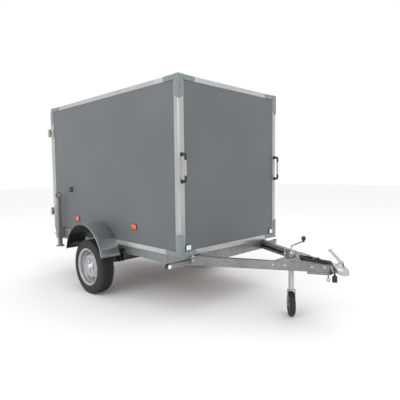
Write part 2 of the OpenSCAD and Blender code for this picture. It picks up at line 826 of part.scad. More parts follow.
module coupling_head() color("silver") {
    difference() {
        union() {
            head_shell(0);
            box([-nose_tube / 2 - head_t, nose_to, nose_z + 2],
                [nose_tube / 2 + head_t, nose_to + sleeve_l, nose_z + nose_tube + head_t]);
        }
        head_shell(head_t);
        translate([0, ball_y, ball_z - 40]) cylinder(h = 40, r = ball_r + 2, $fn = 32);
        box([-nose_tube / 2, nose_to, nose_z - 1],
            [nose_tube / 2, nose_to + sleeve_l + 1, nose_z + nose_tube]);
        box([-8.5, lever_y - 26, ball_z + 20], [8.5, lever_y + 34, lever_z + 20]);
    }
    // two ears that carry the lever's pin
    both() difference() {
        hull() {
            rod_x([10, lever_y, lever_z], 4, 11);
            box([10, lever_y - 16, nose_z + nose_tube],
                [14, lever_y + 32, nose_z + nose_tube + head_t]);
        }
        rod_x([9, lever_y, lever_z], 6, 4 + run_fit);
    }
}

// Release lever: an arm with a grip bar, on a pin through the ears
module coupling_lever() color("silver") translate([0, lever_y, lever_z]) {
    rod_x([-16, 0, 0], 32, 4);
    rod_x([-8, 0, 0], 16, 11);
    rotate([lever_lift, 0, 0]) {
        box([-7, 0, -8], [7, lever_reach - 10, 8]);
        rod_x([-14, lever_reach - 10, 0], 28, 9);
    }
    rotate([lever_lift - 110, 0, 0]) box([-6, 0, -6], [6, 21, 6]);
}

// Outline of a flat piece that spans the two drawbar rails, inset from their outer faces
module span_outline(from, to, inset) polygon([
    [-arm_x(from) + inset, from], [arm_x(from) - inset, from],
    [arm_x(to) - inset, to], [-arm_x(to) + inset, to]]);

// Square tube that carries the coupling, with its two cross bolts
module nose() {
    difference() {
        box([-nose_tube / 2, nose_to, nose_z], [nose_tube / 2, nose_from + 30, nose_z + nose_tube]);
        box([-nose_tube / 2 + 5, nose_to - 1, nose_z + 5],
            [nose_tube / 2 - 5, nose_from + 31, nose_z + nose_tube - 5]);
    }
    both() for (y = [nose_to + 13, nose_to + sleeve_l - 13])
        rod_x([nose_tube / 2 + head_t, y, nose_z + nose_tube / 2], 8, 9);
}

// Folded tray under the rails' ends; its back edge meets the rails' rising lower edge
module tray() translate([0, 0, tray_z]) difference() {
    linear_extrude(tray_h) span_outline(tip_y, tip_y + tray_l, 0);
    translate([0, 0, rail_t]) linear_extrude(tray_h)
        span_outline(tip_y - 1, tip_y + tray_l + 1, rail_t + 1);
}

module drawbar_plates() color("lightgray") {
    nose();
    // plate across the rails that carries the jockey wheel's clamp
    difference() {
        translate([0, 0, plate_z]) linear_extrude(plate_t) span_outline(plate_from, plate_to, 5);
        translate([0, mast_y, plate_z - 1]) cylinder(h = plate_t + 2, d = mast_d + 4);
    }
    // shelf that the cable lies on
    translate([0, 0, plate_z]) linear_extrude(shelf_t) span_outline(tip_y + 1, plate_from - 1, 20);
    tray();
    // eye for the safety cable, below the tray
    translate([-tip_x + 8, tip_y + 14, tray_z - 26]) {
        cylinder(h = 27, d = 10);
        translate([0, 0, -12]) rotate([0, 90, 0]) rotate_extrude() translate([11, 0]) circle(d = 7);
    }
}

// ---- jockey wheel ----

module at_mast() { translate([0, mast_y, 0]) children(); }

// Clamp: a split collar on the plate, with a foot and a threaded boss
module jockey_clamp() color("lightgray") at_mast() difference() {
    union() {
        translate([0, 0, plate_z + plate_t]) cylinder(h = clamp_h, d = clamp_d);
        box([-38, -clamp_d / 2 + 4, plate_z + plate_t], [38, clamp_d / 2 - 4, plate_z + plate_t + 5]);
        rod_y_dir([0, clamp_d / 2 - 4, screw_z], 14, 11);
    }
    translate([0, 0, plate_z]) cylinder(h = clamp_h + 10, d = mast_d + 2 * clear);
    rod_y_dir([0, mast_d / 2 - 3, screw_z], 60, 6 + run_fit);
}

// Clamp screw with a sliding T-bar
module jockey_clamp_handle() color("silver") {
    rod_y_dir([0, mast_y + mast_d / 2 + 0.5, screw_z], screw_y - mast_y - mast_d / 2, 6);
    rod_y_dir([0, screw_y - 9, screw_z], 18, 9);
    translate([0, screw_y, screw_z - tbar_l / 2]) {
        cylinder(h = tbar_l, r = 5);
        sphere(r = 7);
        translate([0, 0, tbar_l]) sphere(r = 7);
    }
}

spindle_d = 16;
module jockey_outer_tube() color("silver") at_mast() difference() {
    union() {
        translate([0, 0, mast_low]) cylinder(h = mast_top - mast_low, d = mast_d);
        translate([0, 0, mast_top]) cylinder(h = 8, d1 = mast_d, d2 = 28);
    }
    translate([0, 0, mast_low - 1])
        cylinder(h = mast_top - mast_low - 5, d = mast_d - 2 * mast_wall);
    cylinder(h = mast_top + 9, d = spindle_d + 2 * run_fit);
}

inner_top = mast_top - 60;
socket_l = 22;
module jockey_inner_tube() color("silver") at_mast() difference() {
    translate([0, 0, mast_low - 8]) cylinder(h = inner_top - mast_low + 8, d = tube_d);
    translate([0, 0, mast_low + socket_l - 8]) cylinder(h = inner_top, d = 24);
    translate([0, 0, mast_low - 9]) cylinder(h = socket_l + 2, d = stem_d + 2 * run_fit);
}

// Swivel fork: a stem in the inner tube, a crown and two cheeks
module jockey_fork() color("silver") at_mast() rotate([0, 0, castor_turn]) {
    crown_z = mast_low - 8 - clear;
    translate([0, 0, crown_z - 1]) cylinder(h = socket_l + 2 + clear, d = stem_d);
    translate([0, 0, mast_low + socket_l - 8 + clear]) cylinder(h = 5, d = 20);
    both() {
        box([castor_w / 2 + 3, -18, castor_r], [castor_w / 2 + 7, 18, crown_z - 3]);
        rod_x([castor_w / 2 + 3, 0, castor_r], 4, 18);
    }
    box([-castor_w / 2 - 7, -18, crown_z - 6], [castor_w / 2 + 7, 18, crown_z]);
    rod_x([-castor_w / 2 - 13, 0, castor_r], castor_w + 26, 6);
}

module jockey_wheel() color("black") at_mast() rotate([0, 0, castor_turn])
    translate([0, 0, castor_r]) rotate([0, 90, 0]) rotate_extrude() polygon([
        [6 + run_fit, -castor_w / 2 + 0.5], [24, -castor_w / 2 + 0.5], [26, -castor_w / 2 + 8],
        [castor_r - 34, -castor_w / 2 + 8], [castor_r - 30, -castor_w / 2 + 2],
        [castor_r - 8, -castor_w / 2 + 2], [castor_r, -castor_w / 2 + 10],
        [castor_r, castor_w / 2 - 10], [castor_r - 8, castor_w / 2 - 2],
        [castor_r - 30, castor_w / 2 - 2], [castor_r - 34, castor_w / 2 - 8],
        [26, castor_w / 2 - 8], [24, castor_w / 2 - 0.5], [6 + run_fit, castor_w / 2 - 0.5]]);

// Crank: a spindle through the tube's cap, a bent rod and a knob
module jockey_crank() color("silver") at_mast() {
    elbow = mast_top + 8 + crank_rise;
    translate([0, 0, mast_top - 50]) cylinder(h = elbow - mast_top + 50, d = 12);
    translate([0, 0, mast_top - 4]) cylinder(h = 12 + clear, d = spindle_d);
    translate([0, 0, mast_top + 8 + clear]) cylinder(h = 8, d = 24);
    translate([0, 0, elbow]) {
        sphere(d = 12.6);
        rotate([atan2(crank_reach, crank_slope), 0, 0])
            cylinder(h = norm([crank_reach, crank_slope]), d = 11);
        translate([0, -crank_reach, crank_slope - 8]) cylinder(h = 22, d = 14);
        translate([0, -crank_reach, crank_slope + 22]) sphere(d = 34);
    }
}

// ---- prop stands, modelled on the left side ----

module stand_clamp() difference() {
    union() {
        box([side_x + 1, stand_y - stand_side / 2 - sleeve_t, sleeve_z],
            [stand_x + stand_side / 2 + sleeve_t, stand_y + stand_side / 2 + sleeve_t,
                sleeve_z + sleeve_h]);
        // plate on the body's side and arm to the chassis rail
        box([side_x, stand_y - 190, sleeve_z + 12],
            [side_x + 5, stand_y + stand_side / 2 + sleeve_t, sleeve_z + sleeve_h - 6]);
        box([rail_x, stand_y - 60, body_z - 46], [side_x + 5, stand_y + 20, body_z - 38]);
        rod_y_dir([stand_x, stand_y + stand_side / 2, sleeve_z + sleeve_h / 2 - 10], 16, 13);
    }
    box([stand_x - stand_side / 2 - clear, stand_y - stand_side / 2 - clear, sleeve_z - 1],
        [stand_x + stand_side / 2 + clear, stand_y + stand_side / 2 + clear,
            sleeve_z + sleeve_h + 1]);
    rod_y_dir([stand_x, stand_y, sleeve_z + sleeve_h / 2 - 10], 60, 6 + run_fit);
}

module stand_clamps() color("lightgray") both() stand_clamp();

module stand_handle() color("silver")
    translate([stand_x, stand_y + stand_side / 2, sleeve_z + sleeve_h / 2 - 10]) {
        rod_y_dir([0, clear + 0.2, 0], 56, 6);
        rod_y_dir([0, 34, 0], 18, 9);
        rod_x([-34, 43, 0], 68, 5);
        translate([-34, 43, 0]) sphere(r = 7);
        translate([34, 43, 0]) sphere(r = 7);
    }

module stand_leg() color("lightgray") translate([stand_x, stand_y, 0]) {
    difference() {
        box([-stand_side / 2, -stand_side / 2, stand_z],
            [stand_side / 2, stand_side / 2, stand_z + stand_l]);
        box([-stand_side / 2 + 3, -stand_side / 2 + 3, stand_z - 1],
            [stand_side / 2 - 3, stand_side / 2 - 3, stand_z + stand_l - 3]);
    }
    // foot plate with a turned-down rim
    difference() {
        translate([0, 0, stand_lift]) cylinder(h = 14, d1 = 96, d2 = 84);
        translate([0, 0, stand_lift - 1]) cylinder(h = 11, d1 = 88, d2 = 78);
    }
    // loop handle
    translate([0, 6, stand_z + stand_l + loop_r - 4]) rotate([90, 0, 0]) difference() {
        cylinder(h = 12, r = loop_r);
        translate([0, 0, -1]) cylinder(h = 14, r = loop_r - 12);
    }
}

// ---- cable ----

function unit(v) = v / norm(v);
function tangent(p, i) = unit(p[min(i + 1, len(p) - 1)] - p[max(i - 1, 0)]);
cable_sides = 8;
// Carries a normal along the route without twist
function carry(p, i, n) = unit(n - (n * tangent(p, i)) * tangent(p, i));
function normals(p, i, n, out) =
    i == len(p) ? out : normals(p, i + 1, carry(p, i, n), concat(out, [carry(p, i, n)]));
// Extra rings between the chosen points, on a smooth curve through them
function blend_point(p, i, t) =
    let (a = p[max(i - 1, 0)], b = p[i], c = p[i + 1], d = p[min(i + 2, len(p) - 1)])
    0.5 * ((2 * b) + (c - a) * t + (2 * a - 5 * b + 4 * c - d) * t * t
        + (3 * b - a - 3 * c + d) * t * t * t);
function smooth_route(p, n) = concat(
    [for (i = [0 : len(p) - 2], k = [0 : n - 1]) blend_point(p, i, k / n)], [p[len(p) - 1]]);

module swept(points) {
    route = smooth_route(points, 2);
    frames = normals(route, 0, [0, 0, 1], []);
    rings = [for (i = [0 : len(route) - 1], k = [0 : cable_sides - 1])
        let (n = frames[i], b = cross(tangent(route, i), n), a = 360 * k / cable_sides)
        route[i] + cable_d / 2 * (cos(a) * n + sin(a) * b)];
    last = len(route) - 1;
    polyhedron(rings, concat(
        [[for (k = [0 : cable_sides - 1]) k]],
        [[for (k = [cable_sides - 1 : -1 : 0]) last * cable_sides + k]],
        [for (i = [0 : last - 1], k = [0 : cable_sides - 1])
            [i * cable_sides + k, (i + 1) * cable_sides + k,
                (i + 1) * cable_sides + (k + 1) % cable_sides,
                i * cable_sides + (k + 1) % cable_sides]]));
}

module cable() color("black") {
    swept(lead_points);
    swept(tail_points);
}

// The folded cable on its shelf: the outer shape of its turns
module cable_hank() color("black") translate([0, hank_y, shelf_z]) linear_extrude(hank_h) {
    square([hank_w, 2 * hank_half], center = true);
    translate([0, hank_half]) circle(d = hank_w);
    translate([0, -hank_half]) circle(d = hank_w);
}

// Strain relief on the jockey plate, where the cable comes up from the rail
module cable_gland() color("black") translate([lead_points[0][0], lead_points[0][1], 0]) {
    rod_y_dir([0, 0, lead_points[0][2]], gland_l, 8.5);
    box([-8, 4, plate_z + plate_t], [8, gland_l, lead_points[0][2]]);
}

module plug() color("black") translate(tail_points[len(tail_points) - 1]) {
    translate([0, 0, -boot_l]) cylinder(h = boot_l, d1 = 24, d2 = cable_d + 3);
    translate([0, 0, -boot_l - plug_l]) cylinder(h = plug_l, d = plug_d);
}

floor_panel();
wall_panels();
roof_panel();
front_posts();
rear_frame();
body_rails();
corner_caps();
front_handles();
reflectors();
marker_lamps();
rear_lamps();
door_seal();
door_panel();  // door_left_panel
door_frame();  // door_left_frame
door_hinges();  // door_left_hinges
on_side(-1) door_panel();  // door_right_panel
on_side(-1) door_frame();  // door_right_frame
on_side(-1) door_hinges();  // door_right_hinges
hinge_brackets();
lock_case();  // lock_left_case
lock_handle();  // lock_left_handle
lock_top_rod();  // lock_left_top_rod
lock_bottom_rod();  // lock_left_bottom_rod
on_side(-1) lock_case();  // lock_right_case
on_side(-1) lock_handle();  // lock_right_handle
on_side(-1) lock_top_rod();  // lock_right_top_rod
on_side(-1) lock_bottom_rod();  // lock_right_bottom_rod
door_retainers();
chassis_rail();  // chassis_rail_left
on_side(-1) chassis_rail();  // chassis_rail_right
cross_members();
axle_beam();
axle_arm();  // axle_arm_left
on_side(-1) axle_arm();  // axle_arm_right
hub();  // hub_left
on_side(-1) hub();  // hub_right
rim();  // rim_left
on_side(-1) rim();  // rim_right
tyre();  // tyre_left
on_side(-1) tyre();  // tyre_right
mudguards();
coupling_head();
coupling_lever();
drawbar_plates();
jockey_clamp();
jockey_clamp_handle();
jockey_outer_tube();
jockey_inner_tube();
jockey_fork();
jockey_wheel();
jockey_crank();
stand_clamps();
stand_handle();  // stand_left_handle
on_side(-1) stand_handle();  // stand_right_handle
stand_leg();  // stand_left_leg
on_side(-1) stand_leg();  // stand_right_leg
cable_gland();
cable();
cable_hank();
plug();
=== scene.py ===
# %% [markdown]
# # A box trailer, dressed for the studio
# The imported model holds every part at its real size. This lesson gives it a camera, its cable,
# its finishes and the small moulded or pressed pieces that make it read as the real thing.
# Everything is in metres: +Z is up, -Y points to the coupling and +X is the trailer's left side.

# %% Load the frame
import json
import math

import bmesh
import bpy
from mathutils import Matrix, Vector

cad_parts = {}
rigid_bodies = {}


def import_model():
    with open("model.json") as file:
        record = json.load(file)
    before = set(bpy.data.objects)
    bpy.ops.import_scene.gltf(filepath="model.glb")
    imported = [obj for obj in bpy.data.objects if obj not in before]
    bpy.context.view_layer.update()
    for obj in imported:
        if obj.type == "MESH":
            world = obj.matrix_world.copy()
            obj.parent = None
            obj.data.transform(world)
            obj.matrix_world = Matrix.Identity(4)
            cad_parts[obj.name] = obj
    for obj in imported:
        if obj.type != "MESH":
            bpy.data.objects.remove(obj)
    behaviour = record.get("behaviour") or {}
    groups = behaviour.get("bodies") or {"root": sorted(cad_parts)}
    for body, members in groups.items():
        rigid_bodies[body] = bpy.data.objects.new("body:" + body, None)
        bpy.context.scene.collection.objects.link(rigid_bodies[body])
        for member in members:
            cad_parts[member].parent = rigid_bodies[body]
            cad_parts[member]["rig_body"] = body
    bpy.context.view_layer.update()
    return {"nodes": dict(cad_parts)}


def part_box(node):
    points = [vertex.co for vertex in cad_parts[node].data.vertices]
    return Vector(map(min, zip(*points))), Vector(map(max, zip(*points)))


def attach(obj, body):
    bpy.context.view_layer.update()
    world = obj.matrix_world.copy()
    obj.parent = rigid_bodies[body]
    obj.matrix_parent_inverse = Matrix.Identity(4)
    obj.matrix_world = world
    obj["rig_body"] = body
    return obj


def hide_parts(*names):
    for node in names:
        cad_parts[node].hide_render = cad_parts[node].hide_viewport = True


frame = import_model()
MM = 0.001

# %% [markdown]
# ## The camera
# The picture is taken from a tall person's chest height, ahead of the trailer on its right-hand
# side. A camera can be aimed by angles or by its three axes. Axes are used here, because the
# slight roll of a hand-held shot is then one small turn of the right-hand axis.

# %% Camera
EYE = Vector((-2.678, -2.816, 1.169))
HEADING = math.radians(45.331)
PITCH = math.radians(-4.135)
ROLL = math.radians(-0.631)
LENS = 34.16


def camera_axes(heading, pitch, roll):
    forward = Vector((math.sin(heading) * math.cos(pitch),
                      math.cos(heading) * math.cos(pitch), math.sin(pitch)))
    level_right = forward.cross(Vector((0, 0, 1))).normalized()
    level_up = level_right.cross(forward)
    right = level_right * math.cos(roll) + level_up * math.sin(roll)
    return right, right.cross(forward), forward


def make_camera():
    data = bpy.data.cameras.new("camera")
    data.lens = LENS
    data.sensor_width = 36
    data.shift_x = 0.0015
    data.shift_y = 0.0016
    data.clip_end = 60
    camera = bpy.data.objects.new("camera", data)
    bpy.context.scene.collection.objects.link(camera)
    right, up, forward = camera_axes(HEADING, PITCH, ROLL)
    turn = Matrix((right, up, -forward)).transposed()
    camera.matrix_world = Matrix.Translation(EYE) @ turn.to_4x4()
    bpy.context.scene.camera = camera
    return camera


camera = make_camera()
print("camera at", tuple(round(v, 3) for v in camera.location))

# %% [markdown]
# ## Finishes: one builder, many recipes
# Real finishes are never one flat colour. Every recipe below starts from the same small builder:
# a colour that drifts between two tones, a roughness that drifts with it and a fine bump.
# The noise reads Object coordinates, which are metres here, so a scale of 100 is a
# pattern about a centimetre across.

# %% The surface builder
FINISHES = {}


def noise(tree, place, scale, detail=4.0, stretch=(1, 1, 1)):
    mapping = tree.nodes.new("ShaderNodeMapping")
    mapping.inputs["Scale"].default_value = stretch
    tree.links.new(place, mapping.inputs["Vector"])
    texture = tree.nodes.new("ShaderNodeTexNoise")
    texture.inputs["Scale"].default_value = scale
    texture.inputs["Detail"].default_value = detail
    tree.links.new(mapping.outputs["Vector"], texture.inputs["Vector"])
    return texture.outputs["Fac"]


def between(tree, fac, low, high, start=0.3, stop=0.7):
    ramp = tree.nodes.new("ShaderNodeMapRange")
    ramp.inputs["From Min"].default_value = start
    ramp.inputs["From Max"].default_value = stop
    ramp.inputs["To Min"].default_value = low
    ramp.inputs["To Max"].default_value = high
    tree.links.new(fac, ramp.inputs["Value"])
    return ramp.outputs["Result"]


def mix_colours(tree, fac, a, b):
    mix = tree.nodes.new("ShaderNodeMix")
    mix.data_type = "RGBA"
    tree.links.new(fac, mix.inputs["Factor"])
    for value, socket in ((a, mix.inputs["A"]), (b, mix.inputs["B"])):
        if isinstance(value, tuple):
            socket.default_value = (*value, 1)
        else:
            tree.links.new(value, socket)
    return mix.outputs["Result"]


def bump_from(tree, fac, strength, distance, after=None):
    bump = tree.nodes.new("ShaderNodeBump")
    bump.inputs["Strength"].default_value = strength
    bump.inputs["Distance"].default_value = distance
    tree.links.new(fac, bump.inputs["Height"])
    if after is not None:
        tree.links.new(after, bump.inputs["Normal"])
    return bump.outputs["Normal"]


def start_finish(name, metallic=0.0, coat=0.0):
    """A new material: returns it with its tree, shader and Object coordinates."""
    material = bpy.data.materials.new(name)
    material.use_nodes = True
    tree = material.node_tree
    shader = tree.nodes["Principled BSDF"]
    shader.inputs["Metallic"].default_value = metallic
    shader.inputs["Coat Weight"].default_value = coat
    shader.inputs["Coat Roughness"].default_value = 0.15
    place = tree.nodes.new("ShaderNodeTexCoord").outputs["Object"]
    FINISHES[name] = material
    return material, tree, shader, place


def drifting(name, tones, rough, metallic=0.0, coat=0.0, drift=6.0, grain=300.0,
             grain_depth=0.2, grain_height=0.1, stretch=(1, 1, 1)):
    """A finish whose colour and roughness drift slowly and whose skin has a fine grain."""
    material, tree, shader, place = start_finish(name, metallic, coat)
    slow = noise(tree, place, drift, 5.0)
    fine = noise(tree, place, grain, 3.0, stretch)
    tree.links.new(mix_colours(tree, between(tree, slow, 0, 1), *tones),
                   shader.inputs["Base Color"])
    tree.links.new(between(tree, slow, *rough), shader.inputs["Roughness"])
    tree.links.new(bump_from(tree, fine, grain_depth, grain_height * MM),
                   shader.inputs["Normal"])
    return material


print("surface builder ready")

# %% [markdown]
# ## Sheet, profile and board
# The walls are resin-faced boards with a pebbled grey skin, held in anodised aluminium
# profiles. Anodising leaves faint draw lines along the profile, so the grain of that finish is
# stretched: noise squeezed across one axis turns into long streaks.

# %% Body finishes
drifting("panel_skin", ((0.108, 0.120, 0.126), (0.134, 0.145, 0.149)), (0.42, 0.55),
         drift=1.6, grain=420, grain_depth=0.35, grain_height=0.25)
drifting("anodised_upright", ((0.42, 0.43, 0.43), (0.50, 0.51, 0.51)), (0.30, 0.44),
         metallic=0.85, drift=5, grain=260, grain_depth=0.12, grain_height=0.06,
         stretch=(3, 3, 0.05))
drifting("anodised_rail", ((0.46, 0.47, 0.47), (0.54, 0.55, 0.55)), (0.30, 0.44),
         metallic=0.85, drift=5, grain=260, grain_depth=0.12, grain_height=0.06,
         stretch=(0.3, 0.3, 3))
drifting("cap_moulding", ((0.185, 0.215, 0.215), (0.225, 0.255, 0.252)), (0.48, 0.60),
         drift=9, grain=700, grain_depth=0.25, grain_height=0.08)
drifting("black_moulding", ((0.012, 0.012, 0.013), (0.022, 0.022, 0.023)), (0.36, 0.52),
         drift=12, grain=800, grain_depth=0.25, grain_height=0.08)
drifting("floor_board", ((0.13, 0.075, 0.042), (0.20, 0.12, 0.07)), (0.45, 0.6),
         drift=4, grain=180, grain_depth=0.4, grain_height=0.3, stretch=(6, 0.4, 6))
print("body finishes:", len(FINISHES))

# %% [markdown]
# ## Zinc in two kinds
# The chassis is dipped in molten zinc, which freezes in flat crystals called spangle. A Voronoi
# texture gives one random tone for each crystal. Small fittings are plated instead: the coat
# is thin, smooth and slightly yellow, so a plain drift is enough.

# %% Zinc finishes
SPANGLE = 70.0


def spangled(name, tones, rough):
    material, tree, shader, place = start_finish(name, metallic=0.75)
    cells = tree.nodes.new("ShaderNodeTexVoronoi")
    cells.inputs["Scale"].default_value = SPANGLE
    tree.links.new(place, cells.inputs["Vector"])
    tone = tree.nodes.new("ShaderNodeSeparateColor")
    tree.links.new(cells.outputs["Color"], tone.inputs["Color"])
    slow = noise(tree, place, 5.0, 6.0)
    crystal = mix_colours(tree, tone.outputs["Red"], *tones)
    weathered = tuple(0.72 * v for v in tones[0])
    colour = mix_colours(tree, between(tree, slow, 0, 0.7, 0.42, 0.75), crystal, weathered)
    tree.links.new(colour, shader.inputs["Base Color"])
    tree.links.new(between(tree, tone.outputs["Green"], *rough, 0, 1),
                   shader.inputs["Roughness"])
    skin = bump_from(tree, noise(tree, place, 160, 3.0), 0.15, 0.2 * MM)
    tree.links.new(bump_from(tree, tone.outputs["Blue"], 0.1, 0.1 * MM, skin),
                   shader.inputs["Normal"])
    return material


spangled("dipped_zinc", ((0.235, 0.245, 0.25), (0.30, 0.31, 0.315)), (0.36, 0.52))
drifting("plated_zinc", ((0.42, 0.42, 0.405), (0.52, 0.52, 0.50)), (0.22, 0.38),
         metallic=0.95, drift=14, grain=500, grain_depth=0.12, grain_height=0.05)
drifting("black_enamel", ((0.016, 0.016, 0.017), (0.030, 0.030, 0.031)), (0.35, 0.55),
         drift=10, grain=300, grain_depth=0.2, grain_height=0.12, coat=0.2)
drifting("wheel_lacquer", ((0.36, 0.37, 0.38), (0.43, 0.44, 0.45)), (0.28, 0.38),
         metallic=0.55, drift=10, grain=900, grain_depth=0.06, grain_height=0.04, coat=0.35)
drifting("bright_cap", ((0.66, 0.67, 0.68), (0.74, 0.75, 0.76)), (0.12, 0.22),
         metallic=1.0, drift=20, grain=600, grain_depth=0.05, grain_height=0.03)
print("metal finishes:", len(FINISHES))

# %% [markdown]
# ## Mudguard: one sheet, two faces
# The arch is dipped zinc outside, rolled lip included. Its underside is made near-black as painted
# shade, standing for the shade under the arch. One material tells the two apart by distance from
# the arch's own axis: nearer than the sheet's middle is the underside.

# %% Mudguard finish
GUARD_AXIS = Vector((0, 0.582, 0.338))
GUARD_RADIUS = 0.347
GUARD_SHEET = 0.0025


def step(tree, value, edge, width):
    ramp = tree.nodes.new("ShaderNodeMapRange")
    ramp.inputs["From Min"].default_value = edge - width
    ramp.inputs["From Max"].default_value = edge + width
    tree.links.new(value, ramp.inputs["Value"])
    return ramp.outputs["Result"]


def guard_finish():
    """Zinc outside the sheet's middle radius, near-black painted shade inside it."""
    material = spangled("guard_zinc_painted_shade", ((0.36, 0.39, 0.40), (0.48, 0.51, 0.52)), (0.38, 0.52))
    tree = material.node_tree
    shader = tree.nodes["Principled BSDF"]
    zinc = shader.inputs["Base Color"].links[0].from_socket
    place = tree.nodes["Texture Coordinate"].outputs["Object"]
    offset = tree.nodes.new("ShaderNodeVectorMath")
    offset.operation = "SUBTRACT"
    offset.inputs[1].default_value = GUARD_AXIS
    tree.links.new(place, offset.inputs[0])
    flat = tree.nodes.new("ShaderNodeVectorMath")
    flat.operation = "MULTIPLY"
    flat.inputs[1].default_value = (0, 1, 1)
    tree.links.new(offset.outputs["Vector"], flat.inputs[0])
    reach = tree.nodes.new("ShaderNodeVectorMath")
    reach.operation = "LENGTH"
    tree.links.new(flat.outputs["Vector"], reach.inputs[0])
    outside = step(tree, reach.outputs["Value"], GUARD_RADIUS - GUARD_SHEET / 2, 0.0004)
    # The near-black on the arch's underside is painted shade.
    tree.links.new(mix_colours(tree, outside, (0.012, 0.012, 0.012), zinc),
                   shader.inputs["Base Color"])
    tree.links.new(outside_metal(tree, outside), shader.inputs["Metallic"])
    return material


def outside_metal(tree, outside):
    scaled = tree.nodes.new("ShaderNodeMath")
    scaled.operation = "MULTIPLY"
    scaled.inputs[1].default_value = 0.7
    tree.links.new(outside, scaled.inputs[0])
    return scaled.outputs["Value"]


guard_finish()
print("mudguard finish ready")

# %% [markdown]
# ## Rubber and lenses
# Tyre rubber is nearly black with a dusty bloom on its sidewalls. A lens is clear coloured
# plastic over rows of tiny prisms: a small checker of bump catches the light the same way.

# %% Rubber and lens finishes
drifting("tyre_rubber", ((0.014, 0.014, 0.014), (0.026, 0.026, 0.025)), (0.62, 0.82),
         drift=9, grain=260, grain_depth=0.3, grain_height=0.2)
drifting("soft_rubber", ((0.016, 0.016, 0.016), (0.027, 0.027, 0.027)), (0.45, 0.6),
         drift=20, grain=500, grain_depth=0.2, grain_height=0.1)
drifting("cable_jacket", ((0.010, 0.010, 0.011), (0.018, 0.018, 0.019)), (0.38, 0.5),
         drift=40, grain=700, grain_depth=0.15, grain_height=0.05)


def lens(name, tones, prism=180.0):
    """Coloured clear plastic over small prisms."""
    material, tree, shader, place = start_finish(name, coat=0.6)
    shader.inputs["Roughness"].default_value = 0.22
    checks = tree.nodes.new("ShaderNodeTexChecker")
    checks.inputs["Scale"].default_value = prism
    tree.links.new(place, checks.inputs["Vector"])
    tree.links.new(mix_colours(tree, checks.outputs["Fac"], *tones),
                   shader.inputs["Base Color"])
    tree.links.new(bump_from(tree, checks.outputs["Fac"], 0.4, 0.4 * MM),
                   shader.inputs["Normal"])
    return material


lens("lens_orange", ((0.62, 0.075, 0.015), (0.80, 0.13, 0.03)))
lens("lens_red", ((0.42, 0.012, 0.012), (0.58, 0.02, 0.018)), 120)
lens("lens_amber", ((0.78, 0.26, 0.02), (0.88, 0.34, 0.04)), 120)
lens("lens_white", ((0.70, 0.72, 0.73), (0.86, 0.88, 0.89)), 150)
print("finishes in all:", len(FINISHES))

# %% [markdown]
# ## Making a piece
# Each new mesh needs the same care: a finish and the CAD body that it moves with. Smooth shading is
# set by angle, so round things look round and folded edges stay crisp.

# %% Helpers for pieces
BODIES = {name: item["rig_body"] for name, item in frame["nodes"].items()}


def shade_by_angle(mesh, degrees=32):
    mesh.shade_smooth()
    mesh.set_sharp_from_angle(angle=math.radians(degrees))


def show(name, mesh, body, finish=None, replaces=()):
    """Puts a finished mesh in the scene as a piece on a body."""
    if finish:
        mesh.materials.clear()
        mesh.materials.append(FINISHES[finish])
    mesh.name = name
    piece = bpy.data.objects.new(name, mesh)
    bpy.context.scene.collection.objects.link(piece)
    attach(piece, body)
    if replaces:
        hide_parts(*replaces)
    return piece


def evaluated_mesh(piece):
    """The mesh with its modifiers in it; the helper object is removed."""
    bpy.context.view_layer.update()
    graph = bpy.context.evaluated_depsgraph_get()
    mesh = bpy.data.meshes.new_from_object(piece.evaluated_get(graph))
    bpy.data.objects.remove(piece)
    return mesh


def helper_object(mesh):
    item = bpy.data.objects.new("helper", mesh)
    bpy.context.scene.collection.objects.link(item)
    return item


def joined(meshes):
    """One mesh from several, with each one's materials kept."""
    work = bmesh.new()
    materials = []
    for mesh in meshes:
        first = len(work.faces)
        work.from_mesh(mesh)
        work.faces.ensure_lookup_table()
        slots = [m for m in mesh.materials]
        for face in work.faces[first:]:
            material = slots[face.material_index] if slots else None
            if material not in materials:
                materials.append(material)
            face.material_index = materials.index(material)
    result = bpy.data.meshes.new("joined")
    work.to_mesh(result)
    work.free()
    for material in materials:
        result.materials.append(material)
    return result


# %% [markdown]
# ## The lighting cable
# About a metre and a half of jacketed cable comes out of a relief on the drawbar plate. Nobody
# lets it drag: it is folded into a hank on the little shelf and its plug hangs at the nose. The
# folds are half circles joined by straight runs, so a loop can lay them: each run is stated by
# where it lies, and the points follow. The last run climbs on top and leaves across the hank.

# %% Cable route
CABLE = 10.5
HANK_Y = -1420
HANK_HALF = 83
SHELF_TOP = 484
LOW = SHELF_TOP + CABLE / 2
HIGH = LOW + CABLE
LEAD = [(42, -1287, 495), (42, -1296, 495), (42, -1306, 494), (42, -1318, 492), (42, -1330, 490)]
TAIL = [(-38, -1500, 500), (-38, -1520, 500), (-38, -1538, 500), (-39, -1552, 498),
        (-41, -1566, 492), (-44, -1579, 482), (-47, -1589, 469), (-49, -1596, 454),
        (-50, -1599, 438), (-50, -1600, 422)]


def ease(t):
    return t * t * (3 - 2 * t)


def run(x_from, x_to, heading, z_from=LOW, z_to=LOW, climb_from=0.0, count=14):
    """A run along the hank: heading -1 goes to the coupling's end, +1 comes back."""
    points = []
    for k in range(count):
        t = k / count
        climb = ease(max(0.0, (t - climb_from) / (1 - climb_from)))
        points.append((x_from + (x_to - x_from) * ease(t),
                       HANK_Y - heading * HANK_HALF * (1 - 2 * t),
                       z_from + (z_to - z_from) * climb))
    return points


def fold(x_from, x_to, end, z=LOW, count=16):
    """A half circle at one end of the hank, from one run to the next."""
    centre = (x_from + x_to) / 2
    radius = (x_from - x_to) / 2
    return [(centre + radius * math.cos(math.pi * k / count),
             HANK_Y + end * (HANK_HALF + abs(radius) * math.sin(math.pi * k / count)), z)
            for k in range(count)]


